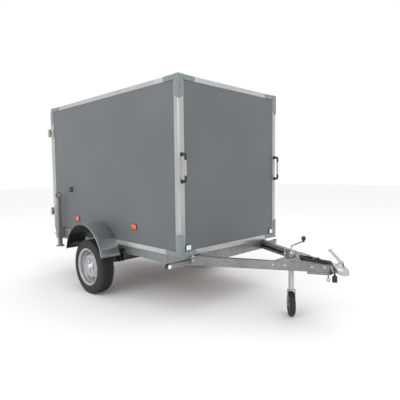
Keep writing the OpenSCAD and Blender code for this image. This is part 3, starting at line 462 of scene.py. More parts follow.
def blend_points(p, count):
    """A smooth curve through the chosen points."""
    result = []
    for i in range(len(p) - 1):
        a, b = Vector(p[max(i - 1, 0)]), Vector(p[i])
        c, d = Vector(p[i + 1]), Vector(p[min(i + 2, len(p) - 1)])
        for k in range(count):
            t = k / count
            result.append(0.5 * (2 * b + (c - a) * t + (2 * a - 5 * b + 4 * c - d) * t * t
                                 + (3 * b - a - 3 * c + d) * t * t * t))
    return result + [Vector(p[-1])]


def cable_route():
    outer, inner, crossing = 42, 31.5, 36.75
    hank = run(outer, outer, -1) + fold(outer, -outer, -1) + run(-outer, -outer, 1)
    hank += fold(-outer, inner, 1) + run(inner, inner, -1) + fold(inner, -inner, -1)
    hank += run(-inner, -inner, 1, LOW, HIGH, 0.4) + fold(-inner, crossing, 1, HIGH)
    hank += run(crossing, TAIL[0][0], -1, HIGH, HIGH)
    points = blend_points(LEAD, 3)[:-1] + [Vector(LEAD[-1])] + [Vector(p) for p in hank]
    return [p * MM for p in points + blend_points(TAIL, 3)[1:]]


route = cable_route()

# %% [markdown]
# The cable itself is a curve with a round bevel, which keeps its centre line exact. The plug is
# turned like a chair leg: an outline spun about its axis, with a hollow mouth at the free end.

# %% Cable and plug
def cable_curve():
    data = bpy.data.curves.new("cable_line", "CURVE")
    data.dimensions = "3D"
    data.bevel_depth = CABLE / 2 * MM
    data.bevel_resolution = 5
    data.use_fill_caps = True
    spline = data.splines.new("POLY")
    spline.points.add(len(route) - 1)
    for point, place in zip(spline.points, route):
        point.co = (*place, 1)
    spline.use_smooth = True
    data.materials.append(FINISHES["cable_jacket"])
    cable = bpy.data.objects.new("light_cable", data)
    bpy.context.scene.collection.objects.link(cable)
    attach(cable, "trailer")
    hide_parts("cable", "cable_hank")
    return cable


def lathe(outline, centre, axis, steps=48, closed=False):
    """Spins an outline of (radius, distance along the axis) in millimetres about an axis."""
    along = Vector(axis).normalized()
    across = along.orthogonal().normalized()
    third = along.cross(across)
    work = bmesh.new()
    rings = []
    for k in range(steps):
        a = 2 * math.pi * k / steps
        spoke = across * math.cos(a) + third * math.sin(a)
        rings.append([work.verts.new((Vector(centre) + along * h + spoke * r) * MM)
                      for r, h in outline])
    pairs = len(outline) if closed else len(outline) - 1
    for k in range(steps):
        here, after = rings[k], rings[(k + 1) % steps]
        for i in range(pairs):
            j = (i + 1) % len(outline)
            work.faces.new((here[i], here[j], after[j], after[i]))
    bmesh.ops.remove_doubles(work, verts=work.verts, dist=1e-6)
    bmesh.ops.recalc_face_normals(work, faces=work.faces)
    mesh = bpy.data.meshes.new("turned")
    work.to_mesh(mesh)
    work.free()
    shade_by_angle(mesh)
    return mesh


PLUG_OUTLINE = [(0, 0), (6.6, 0), (7.8, -2), (7.0, -4), (8.8, -6), (8.0, -8), (10.2, -10),
                (11.5, -14), (16.5, -15), (18.6, -17.5), (18.6, -33), (17.4, -34),
                (17.4, -37), (19, -38), (19, -56), (18, -58), (16, -58), (15.6, -48), (0, -48)]
plug = show("trailer_plug", lathe(PLUG_OUTLINE, route[-1] / MM, (0, 0, 1)), "trailer",
            "black_moulding", ["plug"])
cable = cable_curve()
print("plug and cable made")

# %% [markdown]
# A rubber strap holds the hank on its shelf. A strap is an outline too: a long loop with round
# ends, given a width across the cable and a small wall.

# %% Cable strap
STRAP_HALF = 48.2
STRAP_WIDTH = 18
STRAP_WALL = 1.6


def strap_mesh():
    low, high = SHELF_TOP + 0.2, HIGH + CABLE / 2 + 0.6
    corner = 7
    centres = [(STRAP_HALF - corner, high - corner, 0), (-STRAP_HALF + corner, high - corner, 90),
               (-STRAP_HALF + corner, low + corner, 180), (STRAP_HALF - corner, low + corner, 270)]
    work = bmesh.new()
    loops = []
    for wall in (0, STRAP_WALL):
        for y in (HANK_Y - STRAP_WIDTH / 2, HANK_Y + STRAP_WIDTH / 2):
            loop = []
            for x, z, start in centres:
                for k in range(7):
                    a = math.radians(start + 15 * k)
                    reach = corner - wall
                    loop.append(work.verts.new(Vector((x + reach * math.cos(a), y,
                                                       z + reach * math.sin(a))) * MM))
            loops.append(loop)
    count = len(loops[0])
    for first, second in ((0, 1), (1, 3), (3, 2), (2, 0)):
        for k in range(count):
            j = (k + 1) % count
            work.faces.new((loops[first][k], loops[first][j], loops[second][j], loops[second][k]))
    bmesh.ops.recalc_face_normals(work, faces=work.faces)
    mesh = bpy.data.meshes.new("strap")
    work.to_mesh(mesh)
    work.free()
    shade_by_angle(mesh)
    return mesh


show("cable_strap", strap_mesh(), "trailer", "soft_rubber")
print("strap made")

# %% [markdown]
# ## Dressing the frame
# Extrusions, folded sheet and castings have small round edges that catch the light. A CAD node
# is never altered, so a copy is welded, its flat faces are joined, its edges are bevelled and it
# is shown in the node's place. Flat boards need no edge, so they keep their node.

# %% Finish for each node
KEPT = {
    "panel_skin": ["wall_panels", "roof_panel", "door_left_panel", "door_right_panel"],
    "floor_board": ["floor_panel"],
    "soft_rubber": ["door_seal"],
}
# finish: (edge radius in millimetres, nodes)
ROUNDED = {
    "anodised_upright": (0.8, ["front_posts", "rear_frame", "door_left_frame",
                               "door_right_frame"]),
    "anodised_rail": (0.7, ["body_rails"]),
    "cap_moulding": (1.1, ["corner_caps"]),
    "dipped_zinc": (1.4, ["chassis_rail_left", "chassis_rail_right", "cross_members",
                          "drawbar_plates", "stand_clamps", "stand_left_leg",
                          "stand_right_leg", "jockey_clamp"]),
    "plated_zinc": (0.8, ["door_left_hinges", "door_right_hinges", "hinge_brackets",
                          "coupling_lever"]),
    "black_enamel": (2.0, ["axle_beam", "axle_arm_left", "axle_arm_right"]),
    "black_moulding": (1.6, ["lock_left_case", "lock_right_case", "lock_left_handle",
                             "lock_right_handle", "door_retainers", "cable_gland"]),
}
SMOOTHED = {
    "guard_zinc_painted_shade": ["mudguards"],
    "plated_zinc": ["lock_left_top_rod", "lock_left_bottom_rod", "lock_right_top_rod",
                    "lock_right_bottom_rod", "coupling_head", "jockey_clamp_handle",
                    "jockey_outer_tube", "jockey_inner_tube", "jockey_fork", "jockey_crank",
                    "stand_left_handle", "stand_right_handle"],
    "bright_cap": ["hub_left", "hub_right"],
    "wheel_lacquer": ["rim_left", "rim_right"],
}


def welded_copy(node, join_flats):
    work = bmesh.new()
    work.from_mesh(frame["nodes"][node].data)
    bmesh.ops.remove_doubles(work, verts=work.verts, dist=2e-5)
    if join_flats:
        bmesh.ops.dissolve_limit(work, angle_limit=math.radians(1), verts=work.verts,
                                 edges=work.edges)
    mesh = bpy.data.meshes.new(node + "_shape")
    work.to_mesh(mesh)
    work.free()
    return mesh


def rounded_copy(node, radius):
    """The node's shape with a small round on every sharp edge."""
    item = helper_object(welded_copy(node, True))
    edges = item.modifiers.new("edges", "BEVEL")
    edges.width = radius * MM
    edges.segments = 2
    edges.limit_method = "ANGLE"
    edges.angle_limit = math.radians(38)
    return evaluated_mesh(item)


def dress(node, mesh, finish):
    shade_by_angle(mesh, 34)
    return show(node + "_finished", mesh, BODIES[node], finish, [node])


def dress_frame():
    for finish, nodes in KEPT.items():
        for node in nodes:
            mesh = frame["nodes"][node].data
            mesh.materials.clear()
            mesh.materials.append(FINISHES[finish])
    for finish, (radius, nodes) in ROUNDED.items():
        for node in nodes:
            dress(node, rounded_copy(node, radius), finish)
    for finish, nodes in SMOOTHED.items():
        for node in nodes:
            dress(node, welded_copy(node, False), finish)


dress_frame()
print("nodes dressed:", sum(len(n) for _, n in ROUNDED.values()))

# %% [markdown]
# ## Tyres
# A radial tyre is a section spun about the wheel's axis: beads, bulged sidewalls and a crown cut
# by four water grooves. The shoulders carry separate rubber blocks. Those repeat round the
# wheel, so Geometry Nodes place them: one block on each point of a circle.

# %% Ring of blocks, in Geometry Nodes
def new_tree(name, inputs):
    """A node tree with a Geometry output and named inputs; returns it and their identifiers."""
    tree = bpy.data.node_groups.new(name, "GeometryNodeTree")
    tree.interface.new_socket("Geometry", in_out="INPUT", socket_type="NodeSocketGeometry")
    ids = {}
    for label, kind in inputs.items():
        socket = tree.interface.new_socket(label, in_out="INPUT", socket_type=kind)
        ids[label] = socket.identifier
    tree.interface.new_socket("Geometry", in_out="OUTPUT", socket_type="NodeSocketGeometry")
    return tree, ids


def finish_tree(tree, source, instances):
    """Ends a tree: real geometry, with its material."""
    real = tree.nodes.new("GeometryNodeRealizeInstances")
    paint = tree.nodes.new("GeometryNodeSetMaterial")
    end = tree.nodes.new("NodeGroupOutput")
    tree.links.new(instances, real.inputs["Geometry"])
    tree.links.new(real.outputs["Geometry"], paint.inputs["Geometry"])
    tree.links.new(source.outputs["Material"], paint.inputs["Material"])
    tree.links.new(paint.outputs["Geometry"], end.inputs["Geometry"])


def grown(tree, ids, **values):
    """Runs a tree on an empty mesh with its inputs set, and returns the plain mesh."""
    item = helper_object(bpy.data.meshes.new("seed"))
    grow = item.modifiers.new("grow", "NODES")
    grow.node_group = tree
    for label, value in values.items():
        grow[ids[label]] = value
    return evaluated_mesh(item)


def ring_tree():
    tree, ids = new_tree("ring_of_blocks", {
        "Count": "NodeSocketInt", "Radius": "NodeSocketFloat", "Size": "NodeSocketVector",
        "Material": "NodeSocketMaterial"})
    source = tree.nodes.new("NodeGroupInput")
    circle = tree.nodes.new("GeometryNodeMeshCircle")
    block = tree.nodes.new("GeometryNodeMeshCube")
    spread = tree.nodes.new("GeometryNodeInstanceOnPoints")
    place = tree.nodes.new("GeometryNodeInputPosition")
    turn = tree.nodes.new("FunctionNodeAlignRotationToVector")
    turn.axis = "X"
    turn.pivot_axis = "Z"
    tree.links.new(source.outputs["Count"], circle.inputs["Vertices"])
    tree.links.new(source.outputs["Radius"], circle.inputs["Radius"])
    tree.links.new(source.outputs["Size"], block.inputs["Size"])
    tree.links.new(circle.outputs["Mesh"], spread.inputs["Points"])
    tree.links.new(block.outputs["Mesh"], spread.inputs["Instance"])
    tree.links.new(place.outputs["Position"], turn.inputs["Vector"])
    tree.links.new(turn.outputs["Rotation"], spread.inputs["Rotation"])
    finish_tree(tree, source, spread.outputs["Instances"])
    return tree, ids


RING, RING_IDS = ring_tree()


def ring_of_blocks(count, radius, size, finish, centre, axis):
    """Blocks round an axis: size is (radial, along the ring, along the axis), in mm."""
    mesh = grown(RING, RING_IDS, Count=count, Radius=radius * MM,
                 Size=Vector(size) * MM, Material=FINISHES[finish])
    turn = Vector((0, 0, 1)).rotation_difference(Vector(axis)).to_matrix().to_4x4()
    mesh.transform(Matrix.Translation(Vector(centre)) @ turn)
    return mesh


print("ring tree has", len(RING.nodes), "nodes")

# %% [markdown]
# The wheel's sizes come from its CAD box, so the tyre stays exactly on the ground. Heights in
# the outline run across the tread, and radii run out from the axle.

# %% Tyres
RIM_R = 165
RIM_HALF = 63.5
GROOVES = (-30, -10, 10, 30)
GROOVE_HALF = 3.6
GROOVE_DEPTH = 7
GROOVE_BEVEL = 0.6
SHOULDER_BLOCKS = 64


def wheel_frame(side):
    low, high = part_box(f"tyre_{side}")
    return (low + high) / 2, (high.z - low.z) / 2 / MM, (high.x - low.x) / 2 / MM


def tyre_outline(radius, half):
    side = [(RIM_R, RIM_HALF - 4), (RIM_R + 3, RIM_HALF), (RIM_R + 17, RIM_HALF + 4),
            (RIM_R + 24, half - 5), (RIM_R + 30, half - 3), (RIM_R + 40, half - 1),
            (RIM_R + 44, half - 0.2), (RIM_R + 52, half), (RIM_R + 64, half - 1.4),
            (RIM_R + 76, half - 5), (radius - 14, half - 12), (radius - 8, half - 16),
            (radius - 5, half - 19), (radius - 1.6, half - 25), (radius, half - 32)]
    crown = []
    for centre in reversed(GROOVES):
        crown += [(radius, centre + GROOVE_HALF + GROOVE_BEVEL),
                  (radius - GROOVE_DEPTH, centre + GROOVE_HALF),
                  (radius - GROOVE_DEPTH, centre - GROOVE_HALF),
                  (radius, centre - GROOVE_HALF - GROOVE_BEVEL)]
    inside = [(RIM_R - 0.4, RIM_HALF - 12), (RIM_R + 16, RIM_HALF - 12), (RIM_R + 30, half - 14),
              (RIM_R + 52, half - 10), (radius - 20, half - 22), (radius - 12, half - 40)]
    back = [(r, -h) for r, h in reversed(side)]
    return side + crown + back + [(r, -h) for r, h in inside] + list(reversed(inside))


def make_tyre(side):
    centre, radius, half = wheel_frame(side)
    carcass = lathe([(r, h) for r, h in tyre_outline(radius, half)], centre / MM,
                    (1, 0, 0), 120, closed=True)
    carcass.materials.append(FINISHES["tyre_rubber"])
    blocks = [ring_of_blocks(SHOULDER_BLOCKS, radius - 5.6, (9, 17, 15), "tyre_rubber",
                             centre + Vector((edge * (half - 22.5) * MM, 0, 0)), (1, 0, 0))
              for edge in (1, -1)]
    return show(f"tyre_{side}_tread", joined([carcass] + blocks), f"wheel_{side}",
                None, [f"tyre_{side}"])


for side in ("left", "right"):
    tyre = make_tyre(side)
    print(tyre.name, len(tyre.data.polygons), "faces")

# %% [markdown]
# Each rim has a rubber valve that leans out of its barrel.

# %% Valves
VALVE = [(0, 0), (5.5, 0), (5.2, 8), (3.8, 12), (3.4, 26), (4.2, 27), (4.2, 36), (3.4, 38), (0, 38)]


def make_valve(side, outward):
    centre, _, _ = wheel_frame(side)
    lean = Vector((outward * 0.86, 0, -0.5))
    foot = centre / MM + Vector((outward * 22, 0, 142))
    return show(f"valve_{side}", lathe(VALVE, foot, lean, 16), f"wheel_{side}",
                "soft_rubber")


make_valve("left", 1)
make_valve("right", -1)
print("valves fitted")

# %% [markdown]
# ## Grab handles
# Each front post carries a handle: an aluminium bar whose two ends sit in black moulded elbows.
# An elbow is a tube that follows a bent path and grows thinner towards the bar, so a curve with
# a radius at each point makes it, turned into a plain mesh at once.

# %% Grab handles
BAR_RADIUS = 9.0
ELBOW_LENGTH = 46
FOOT = [(0, 0), (16.6, 0), (17, 1), (17, 3.4), (15.5, 5), (0, 5)]


def swept_mesh(points, radii, sides=5):
    """A tube along millimetre points with a radius at each."""
    data = bpy.data.curves.new("sweep", "CURVE")
    data.dimensions = "3D"
    data.bevel_depth = 1.0
    data.bevel_resolution = sides
    data.use_fill_caps = True
    spline = data.splines.new("POLY")
    spline.points.add(len(points) - 1)
    for point, place, radius in zip(spline.points, points, radii):
        point.co = (*(Vector(place) * MM), 1)
        point.radius = radius * MM
    item = bpy.data.objects.new("sweep", data)
    bpy.context.scene.collection.objects.link(item)
    mesh = evaluated_mesh(item)
    shade_by_angle(mesh)
    return mesh


def elbow(x, y_post, y_bar, z_foot, toward):
    path = blend_points([(x, y_post - 4, z_foot), (x, y_post - 20, z_foot),
                         (x, y_bar + 8, z_foot + toward * 2), (x, y_bar, z_foot + toward * 12),
                         (x, y_bar, z_foot + toward * ELBOW_LENGTH)], 5)
    last = len(path) - 1
    radii = [13.5 - 3.6 * ease(k / last) for k in range(len(path))]
    foot = lathe(FOOT, (x, y_post, z_foot), (0, -1, 0), 28)
    return [swept_mesh(path, radii), foot]


def make_grab_handles():
    low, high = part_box("front_handles")
    bar_y = (low.y / MM) + BAR_RADIUS + 1
    z_low, z_high = low.z / MM + 17, high.z / MM - 17
    x_bar = high.x / MM - 17
    ends, bars = [], []
    for x in (x_bar, -x_bar):
        ends += elbow(x, high.y / MM, bar_y, z_low, 1)
        ends += elbow(x, high.y / MM, bar_y, z_high, -1)
        bars.append(swept_mesh([(x, bar_y, z_low + 20), (x, bar_y, z_high - 20)],
                               [BAR_RADIUS, BAR_RADIUS]))
    moulded = joined(ends)
    show("grab_handle_ends", moulded, "trailer", "black_moulding",
         ["front_handles"])
    show("grab_handle_bars", joined(bars), "trailer", "anodised_upright")
    print("handles between z", round(z_low), "and", round(z_high))


make_grab_handles()

# %% [markdown]
# ## Reflectors and lamps
# A reflector is a lens in a thin black frame. A lamp is a rounded black housing behind
# a lens in coloured panes. All of them are boxes with bevelled edges, so one helper makes a
# bevelled block from two corners, and each fitting is a few calls of it.

# %% Blocks
def block(low, high, radius, finish, segments=3):
    """A box between two millimetre corners, its edges rounded."""
    work = bmesh.new()
    bmesh.ops.create_cube(work, size=1)
    size = Vector(high) - Vector(low)
    middle = (Vector(high) + Vector(low)) / 2
    bmesh.ops.scale(work, vec=size * MM, verts=work.verts)
    bmesh.ops.translate(work, vec=middle * MM, verts=work.verts)
    bmesh.ops.bevel(work, geom=work.edges[:], offset=radius * MM, segments=segments,
                    affect="EDGES", profile=0.5)
    bmesh.ops.recalc_face_normals(work, faces=work.faces)
    mesh = bpy.data.meshes.new("block")
    work.to_mesh(mesh)
    work.free()
    mesh.materials.append(FINISHES[finish])
    shade_by_angle(mesh, 40)
    return mesh


def mirrored(mesh):
    """The same mesh on the other side of the trailer."""
    work = bmesh.new()
    work.from_mesh(mesh)
    bmesh.ops.scale(work, vec=(-1, 1, 1), verts=work.verts)
    bmesh.ops.recalc_face_normals(work, faces=work.faces)
    copy = bpy.data.meshes.new("mirrored")
    work.to_mesh(copy)
    work.free()
    for material in mesh.materials:
        copy.materials.append(material)
    return copy


def on_both_sides(meshes):
    return joined(list(meshes) + [mirrored(m) for m in meshes])


print("block helpers ready")

# %% [markdown]
# ## Reflectors
# A reflector is a coloured lens in a black rim. Each one is two rounded blocks, with the lens
# a little proud of its rim. Half of them are built and the rest are mirrored.

# %% Reflectors
SIDE_Y = (6, 1047)
SIDE_Z = 691
WALL_X = 666.8


def side_reflector(y):
    return [block((WALL_X, y - 38, SIDE_Z - 26), (WALL_X + 6, y + 38, SIDE_Z + 26), 1.5,
                  "black_moulding"),
            block((WALL_X + 3, y - 34, SIDE_Z - 22), (WALL_X + 9.2, y + 34, SIDE_Z + 22), 2.2,
                  "lens_orange")]


def front_reflector():
    low, high = (554, -620, 546), (613, -610.8, 592)
    rim = block(low, (high[0], -611, high[2]), 2, "black_moulding")
    glass = block((low[0] + 3, low[1], low[2] + 3), (high[0] - 3, -612, high[2] - 3), 2,
                  "lens_white")
    glass.transform(Matrix.Translation((0, -0.8 * MM, 0)))
    return [rim, glass]


pieces = [m for y in SIDE_Y for m in side_reflector(y)] + front_reflector()
show("side_and_front_reflectors", on_both_sides(pieces), "trailer",
     None, ["reflectors"])
print("reflectors:", 2 * (len(SIDE_Y) + 1))

# %% [markdown]
# The front markers stand on square arms that reach out past the body. The housing is turned, with a
# white dome to the front and a red one to the back.

# %% Marker lamps
MARKER = Vector((753, -559, 434))
MARKER_DOME = [(18.5, 0), (17.6, -1.8), (13, -4.2), (7, -5.6), (0, -6.2)]
MARKER_BODY = [(0, 0), (20.5, 0), (22, 1.6), (22, 36.4), (20.5, 38), (0, 38)]


def marker_lamp():
    arm = block((490, MARKER.y - 18.5, MARKER.z - 18.5), (737, MARKER.y + 18.5, MARKER.z + 18.5),
                3, "dipped_zinc")
    neck = block((734, MARKER.y - 18.8, MARKER.z - 21.6), (752, MARKER.y + 18.8, MARKER.z + 21.6),
                 3, "black_moulding")
    drum = lathe(MARKER_BODY, MARKER - Vector((0, 19, 0)), (0, 1, 0), 32)
    front = lathe(MARKER_DOME, MARKER - Vector((0, 19, 0)), (0, 1, 0), 32)
    back = lathe(MARKER_DOME, MARKER + Vector((0, 19, 0)), (0, -1, 0), 32)
    for mesh, finish in ((drum, "black_moulding"), (front, "lens_white"), (back, "lens_red")):
        mesh.materials.append(FINISHES[finish])
    return [arm, neck, drum, front, back]


show("front_marker_lamps", on_both_sides(marker_lamp()), "trailer", None,
     ["marker_lamps"])
print("marker lamps made")

# %% [markdown]
# ## Rear light board
# Each rear lamp is one black housing with four panes across its width. A pane is given by its
# finish and by where it starts and stops, as shares of the width. The number plate sits
# between the lamps in a shallow tray with two small lamps over it.

# %% Rear lamps
LAMP_LOW = Vector((432, 1604, 407))
LAMP_HIGH = Vector((652, 1648, 491))
PANES = (("lens_amber", 0.04, 0.30), ("lens_red", 0.32, 0.66), ("lens_white", 0.68, 0.82),
         ("lens_red", 0.84, 0.96))


def rear_cluster():
    width = LAMP_HIGH.x - LAMP_LOW.x
    meshes = [block(LAMP_LOW, LAMP_HIGH - Vector((0, 9, 0)), 6, "black_moulding")]
    for finish, start, stop in PANES:
        meshes.append(block((LAMP_LOW.x + width * start, LAMP_HIGH.y - 14, LAMP_LOW.z + 7),
                            (LAMP_LOW.x + width * stop, LAMP_HIGH.y, LAMP_HIGH.z - 7), 4, finish))
    return meshes


def plate_holder():
    half, back_y, low, top, edge = 265, LAMP_LOW.y, 377, 491, 5
    lip_y = back_y + 12
    back = block((-half, back_y, low), (half, back_y + 4, top), 1.5, "black_moulding")
    bars = [block((-half, back_y, z), (half, lip_y, z + edge), 1.5, "black_moulding")
            for z in (low, top - edge)]
    ends = [block((x, back_y, low), (x + edge, lip_y, top), 1.5, "black_moulding")
            for x in (-half, half - edge)]
    lamps = [block((x - 22, back_y, top - 13), (x + 22, lip_y + 6, top + 2), 4,
                   "black_moulding")
             for x in (-120, 120)]
    return [back] + bars + ends + lamps


show("rear_light_board", joined([on_both_sides(rear_cluster())] + plate_holder()), "trailer",
     None, ["rear_lamps"])
print("rear board:", 2 * len(PANES), "panes")

# %% [markdown]
# ## Jockey wheel and crank knob
# The jockey wheel is a solid rubber tyre on a pressed disc. The knob on the crank is a black ball.
# Both are spun outlines about the axes that the CAD nodes have.

# %% Jockey wheel and knob
CASTOR_TURN = math.radians(-50)
CASTOR_TYRE = [(62, -19), (70, -22.5), (90, -23), (95, -20), (98.4, -16), (99.4, -12),
               (98.2, -9), (100, -7), (100, 7), (98.2, 9), (99.4, 12), (98.4, 16), (95, 20),
               (90, 23), (70, 22.5), (62, 19)]
CASTOR_DISC = [(6.1, -24.3), (14, -24.3), (15, -22), (15, -12), (24, -9), (50, -7), (60, -12),
               (62.6, -18.6), (64, -19.8), (64.4, -18), (62.4, -11), (62.4, 11), (64.4, 18),
               (64, 19.8), (62.6, 18.6), (60, 12), (50, 7), (24, 9), (15, 12), (15, 22),
               (14, 24.3), (6.1, 24.3)]
KNOB = [(0, -8), (7.2, -8), (7.4, 0), (9, 4), (14, 9), (16.9, 17), (17.4, 24), (15.4, 32),
        (10, 37.6), (4, 39.4), (0, 39.6)]


def make_castor():
    low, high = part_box("jockey_wheel")
    centre = (low + high) / 2 / MM
    axis = (math.cos(CASTOR_TURN), math.sin(CASTOR_TURN), 0)
    tyre = lathe(CASTOR_TYRE, centre, axis, 72, closed=True)
    tyre.materials.append(FINISHES["tyre_rubber"])
    disc = lathe(CASTOR_DISC, centre, axis, 48, closed=True)
    disc.materials.append(FINISHES["dipped_zinc"])
    show("jockey_wheel_turned", joined([tyre, disc]), "jockey_wheel", None,
         ["jockey_wheel"])


def make_knob():
    low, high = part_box("jockey_crank")
    centre = Vector(((low.x + high.x) / 2, low.y + 17 * MM, high.z - 17 * MM)) / MM
    show("crank_knob", lathe(KNOB, centre - Vector((0, 0, 22)), (0, 0, 1), 40),
         "jockey_crank", "black_moulding")
    print("knob at", tuple(round(v) for v in centre))


make_castor()
make_knob()

# %% [markdown]
# ## Fasteners
# Bolts, rivets and screws sit in straight rows. Placing each by hand would be dull and would
# drift, so a node tree lays one row: heads at even steps on a line, all facing one way. Every
# row then is one call that says where it starts and ends, how many heads it has and how big.

# %% Fastener tree
def head_shape(tree, source, kind):
    """A dome for a rivet, or a washer under a hexagon for a bolt."""
    if kind == "rivet":
        ball = tree.nodes.new("GeometryNodeMeshUVSphere")
        ball.inputs["Segments"].default_value = 16
        ball.inputs["Rings"].default_value = 8
        squash = tree.nodes.new("GeometryNodeTransform")
        squash.inputs["Scale"].default_value = (1, 1, 0.5)
        tree.links.new(source.outputs["Radius"], ball.inputs["Radius"])
        tree.links.new(ball.outputs["Mesh"], squash.inputs["Geometry"])
        return squash.outputs["Geometry"]
    both = tree.nodes.new("GeometryNodeJoinGeometry")
    for sides, share, depth in ((24, 1.45, 0.30), (6, 1.0, 1.1)):
        scaled, deep, half, shift, disc, lift = [tree.nodes.new(kind_) for kind_ in (
            "ShaderNodeMath", "ShaderNodeMath", "ShaderNodeMath", "ShaderNodeCombineXYZ",
            "GeometryNodeMeshCylinder", "GeometryNodeTransform")]
        for node, factor, origin in ((scaled, share, source.outputs["Radius"]),
                                     (deep, depth, source.outputs["Radius"]),
                                     (half, 0.5, deep.outputs["Value"])):
            node.operation = "MULTIPLY"
            node.inputs[1].default_value = factor
            tree.links.new(origin, node.inputs[0])
        disc.inputs["Vertices"].default_value = sides
        tree.links.new(scaled.outputs["Value"], disc.inputs["Radius"])
        tree.links.new(deep.outputs["Value"], disc.inputs["Depth"])
        tree.links.new(half.outputs["Value"], shift.inputs["Z"])
        tree.links.new(disc.outputs["Mesh"], lift.inputs["Geometry"])
        tree.links.new(shift.outputs["Vector"], lift.inputs["Translation"])
        tree.links.new(lift.outputs["Geometry"], both.inputs["Geometry"])
    return both.outputs["Geometry"]


def row_tree(kind):
    tree, ids = new_tree(f"row_of_{kind}s", {
        "Start": "NodeSocketVector", "End": "NodeSocketVector", "Count": "NodeSocketInt",
        "Facing": "NodeSocketVector", "Radius": "NodeSocketFloat",
        "Material": "NodeSocketMaterial"})
    source = tree.nodes.new("NodeGroupInput")
    line = tree.nodes.new("GeometryNodeMeshLine")
    line.mode = "END_POINTS"
    spread = tree.nodes.new("GeometryNodeInstanceOnPoints")
    turn = tree.nodes.new("FunctionNodeAlignRotationToVector")
    turn.axis = "Z"
    tree.links.new(source.outputs["Count"], line.inputs["Count"])
    tree.links.new(source.outputs["Start"], line.inputs["Start Location"])
    tree.links.new(source.outputs["End"], line.inputs["Offset"])
    tree.links.new(source.outputs["Facing"], turn.inputs["Vector"])
    tree.links.new(turn.outputs["Rotation"], spread.inputs["Rotation"])
    tree.links.new(line.outputs["Mesh"], spread.inputs["Points"])
    tree.links.new(head_shape(tree, source, kind), spread.inputs["Instance"])
    finish_tree(tree, source, spread.outputs["Instances"])
    return tree, ids


TREES = {kind: row_tree(kind) for kind in ("rivet", "bolt")}


def row(kind, start, end, count, facing, radius, finish="plated_zinc"):
    """A row of heads in millimetres; a single head sits at start."""
    tree, ids = TREES[kind]
    mesh = grown(tree, ids, Start=Vector(start) * MM, End=Vector(end) * MM, Count=count,
                 Facing=Vector(facing), Radius=radius * MM, Material=FINISHES[finish])
    shade_by_angle(mesh, 40)
    return mesh


print("fastener trees:", ", ".join(TREES))

# %% [markdown]
# The rows below follow the parts that they hold: rivets in the corner caps' tongues, bolts
# through the drawbar's arms, screws in the hinge straps and the lock cases.

# %% Fasteners on the body
FRONT_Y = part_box("front_posts")[0].y / MM
SIDE_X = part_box("front_posts")[1].x / MM
BODY_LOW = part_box("front_posts")[0].z / MM
BODY_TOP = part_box("front_posts")[1].z / MM
FRAME_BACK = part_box("rear_frame")[0].y / MM + 50
CAP = 2.5
RIVET = 4.2


def cap_rivets():
    rows = []
    for corner_z, up in ((BODY_LOW, 1), (BODY_TOP, -1)):
        rail_z = corner_z + up * 20
        tongue = (corner_z + up * 66, corner_z + up * 150)
        rows.append(row("rivet", (SIDE_X - 76, FRONT_Y - CAP, rail_z),
                        (SIDE_X - 158, FRONT_Y - CAP, rail_z), 3, (0, -1, 0), RIVET))
        rows.append(row("rivet", (SIDE_X - 26, FRONT_Y - CAP, tongue[0]),
                        (SIDE_X - 26, FRONT_Y - CAP, tongue[1]), 2, (0, -1, 0), RIVET))
        for y, along in ((FRONT_Y, 1), (FRAME_BACK, -1)):
            rows.append(row("rivet", (SIDE_X + CAP, y + along * 76, rail_z),
                            (SIDE_X + CAP, y + along * 158, rail_z), 3, (1, 0, 0), RIVET))
            rows.append(row("rivet", (SIDE_X + CAP, y + along * 26, tongue[0]),
                            (SIDE_X + CAP, y + along * 26, tongue[1]), 2, (1, 0, 0), RIVET))
    return rows


def stand_bolts():
    return [row("bolt", (SIDE_X + 5, 1215, z), (SIDE_X + 5, 1335, z), 3, (1, 0, 0), 6)
            for z in (474, 536)]


def arm_bolts():
    """Bolts along the outer face of a drawbar arm, square to its slant."""
    nose_x, nose_y, bend_y = 35, -1554, -392
    slope = (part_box("chassis_rail_left")[1].x / MM - nose_x) / (bend_y - nose_y)
    facing = Vector((1, -slope, 0)).normalized()
    rows = []
    for y, z, count, step_z in ((-1520, 462, 1, 0), (-1440, 458, 1, 0), (-1262, 458, 1, 0),
                                (-596, 448, 2, 34), (-1180, 458, 1, 0)):
        foot = Vector((nose_x + (y - nose_y) * slope, y, z))
        rows.append(row("bolt", foot, foot + Vector((0, 0, step_z)), count, facing, 8))
    return rows


body_rows = cap_rivets() + stand_bolts() + arm_bolts()
fixings = show("body_fasteners", on_both_sides(body_rows), "trailer")
print("body fasteners:", len(fixings.data.polygons), "faces")

# %% [markdown]
# ## Door screws
# Each hinge strap is held by two rows of three rivets, and each lock case by two rows of two.
# The same row tree makes them all. The right-hand door's rows are mirrored.

# %% Fasteners on the doors
DOOR_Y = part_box("door_left_frame")[1].y / MM
STRAP_T = 4
LOCK_X = 95


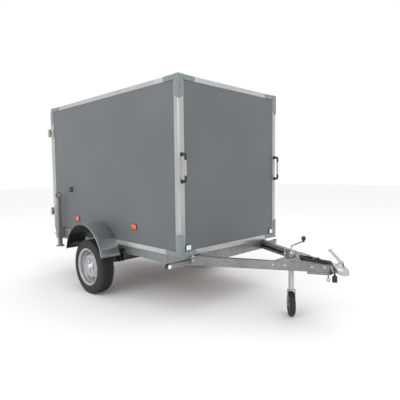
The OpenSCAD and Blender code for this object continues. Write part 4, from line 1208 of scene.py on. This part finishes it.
def door_rows(side):
    low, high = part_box(f"door_{side}_hinges")
    hinge_zs = (low.z / MM + 45, high.z / MM - 45)
    rows = []
    for z in hinge_zs:
        for offset in (-28, 28):
            rows.append(row("rivet", (566, DOOR_Y + STRAP_T, z + offset),
                            (646, DOOR_Y + STRAP_T, z + offset), 3, (0, 1, 0), 6))
    for offset in (-50, 50):
        rows.append(row("rivet", (LOCK_X - 14, DOOR_Y + 26, 1120 + offset),
                        (LOCK_X + 14, DOOR_Y + 26, 1120 + offset), 2, (0, 1, 0), 3.6))
    return rows


for side in ("left", "right"):
    meshes = door_rows(side)
    if side == "right":
        meshes = [mirrored(m) for m in meshes]
    show(f"door_{side}_screws", joined(meshes), f"door_{side}")
print("door screws made")

# %% [markdown]
# ## Studio
# A pale floor runs far behind the trailer under a bright, even sky. One broad lamp on the
# right-hand side lifts the long wall, and a second, weaker one fills the front, which leaves
# the front wall a shade darker, as soft daylight would.

# %% Floor, lamps and sky
def make_floor():
    bpy.ops.mesh.primitive_plane_add(size=60, location=(0, 0, 0))
    floor = bpy.context.object
    floor.name = "studio_floor"
    paper = bpy.data.materials.new("studio_paper")
    paper.use_nodes = True
    shader = paper.node_tree.nodes["Principled BSDF"]
    shader.inputs["Base Color"].default_value = (0.93, 0.93, 0.93, 1)
    shader.inputs["Roughness"].default_value = 0.9
    floor.data.materials.append(paper)
    return floor


def make_lamp(name, place, target, size, watts):
    data = bpy.data.lights.new(name, "AREA")
    data.shape = "SQUARE"
    data.size = size
    data.energy = watts
    lamp = bpy.data.objects.new(name, data)
    lamp.location = place
    aim = Vector(target) - Vector(place)
    lamp.rotation_euler = aim.to_track_quat("-Z", "Y").to_euler()
    bpy.context.scene.collection.objects.link(lamp)


def make_sky(strength):
    sky = bpy.data.worlds.new("studio_sky")
    sky.use_nodes = True
    light = sky.node_tree.nodes["Background"]
    light.inputs["Color"].default_value = (1.0, 1.0, 1.0, 1)
    light.inputs["Strength"].default_value = strength
    bpy.context.scene.world = sky


make_floor()
make_sky(1.0)
make_lamp("side_lamp", (-6.0, -0.5, 4.2), (-0.6, 0.2, 1.0), 4.0, 90)
make_lamp("front_lamp", (-1.0, -6.5, 3.6), (0.0, -0.6, 0.9), 3.0, 25)
make_lamp("top_lamp", (1.0, 0.5, 6.0), (0, 0, 1.0), 5.0, 80)
bpy.context.scene.view_settings.view_transform = "Standard"
print("studio lit")
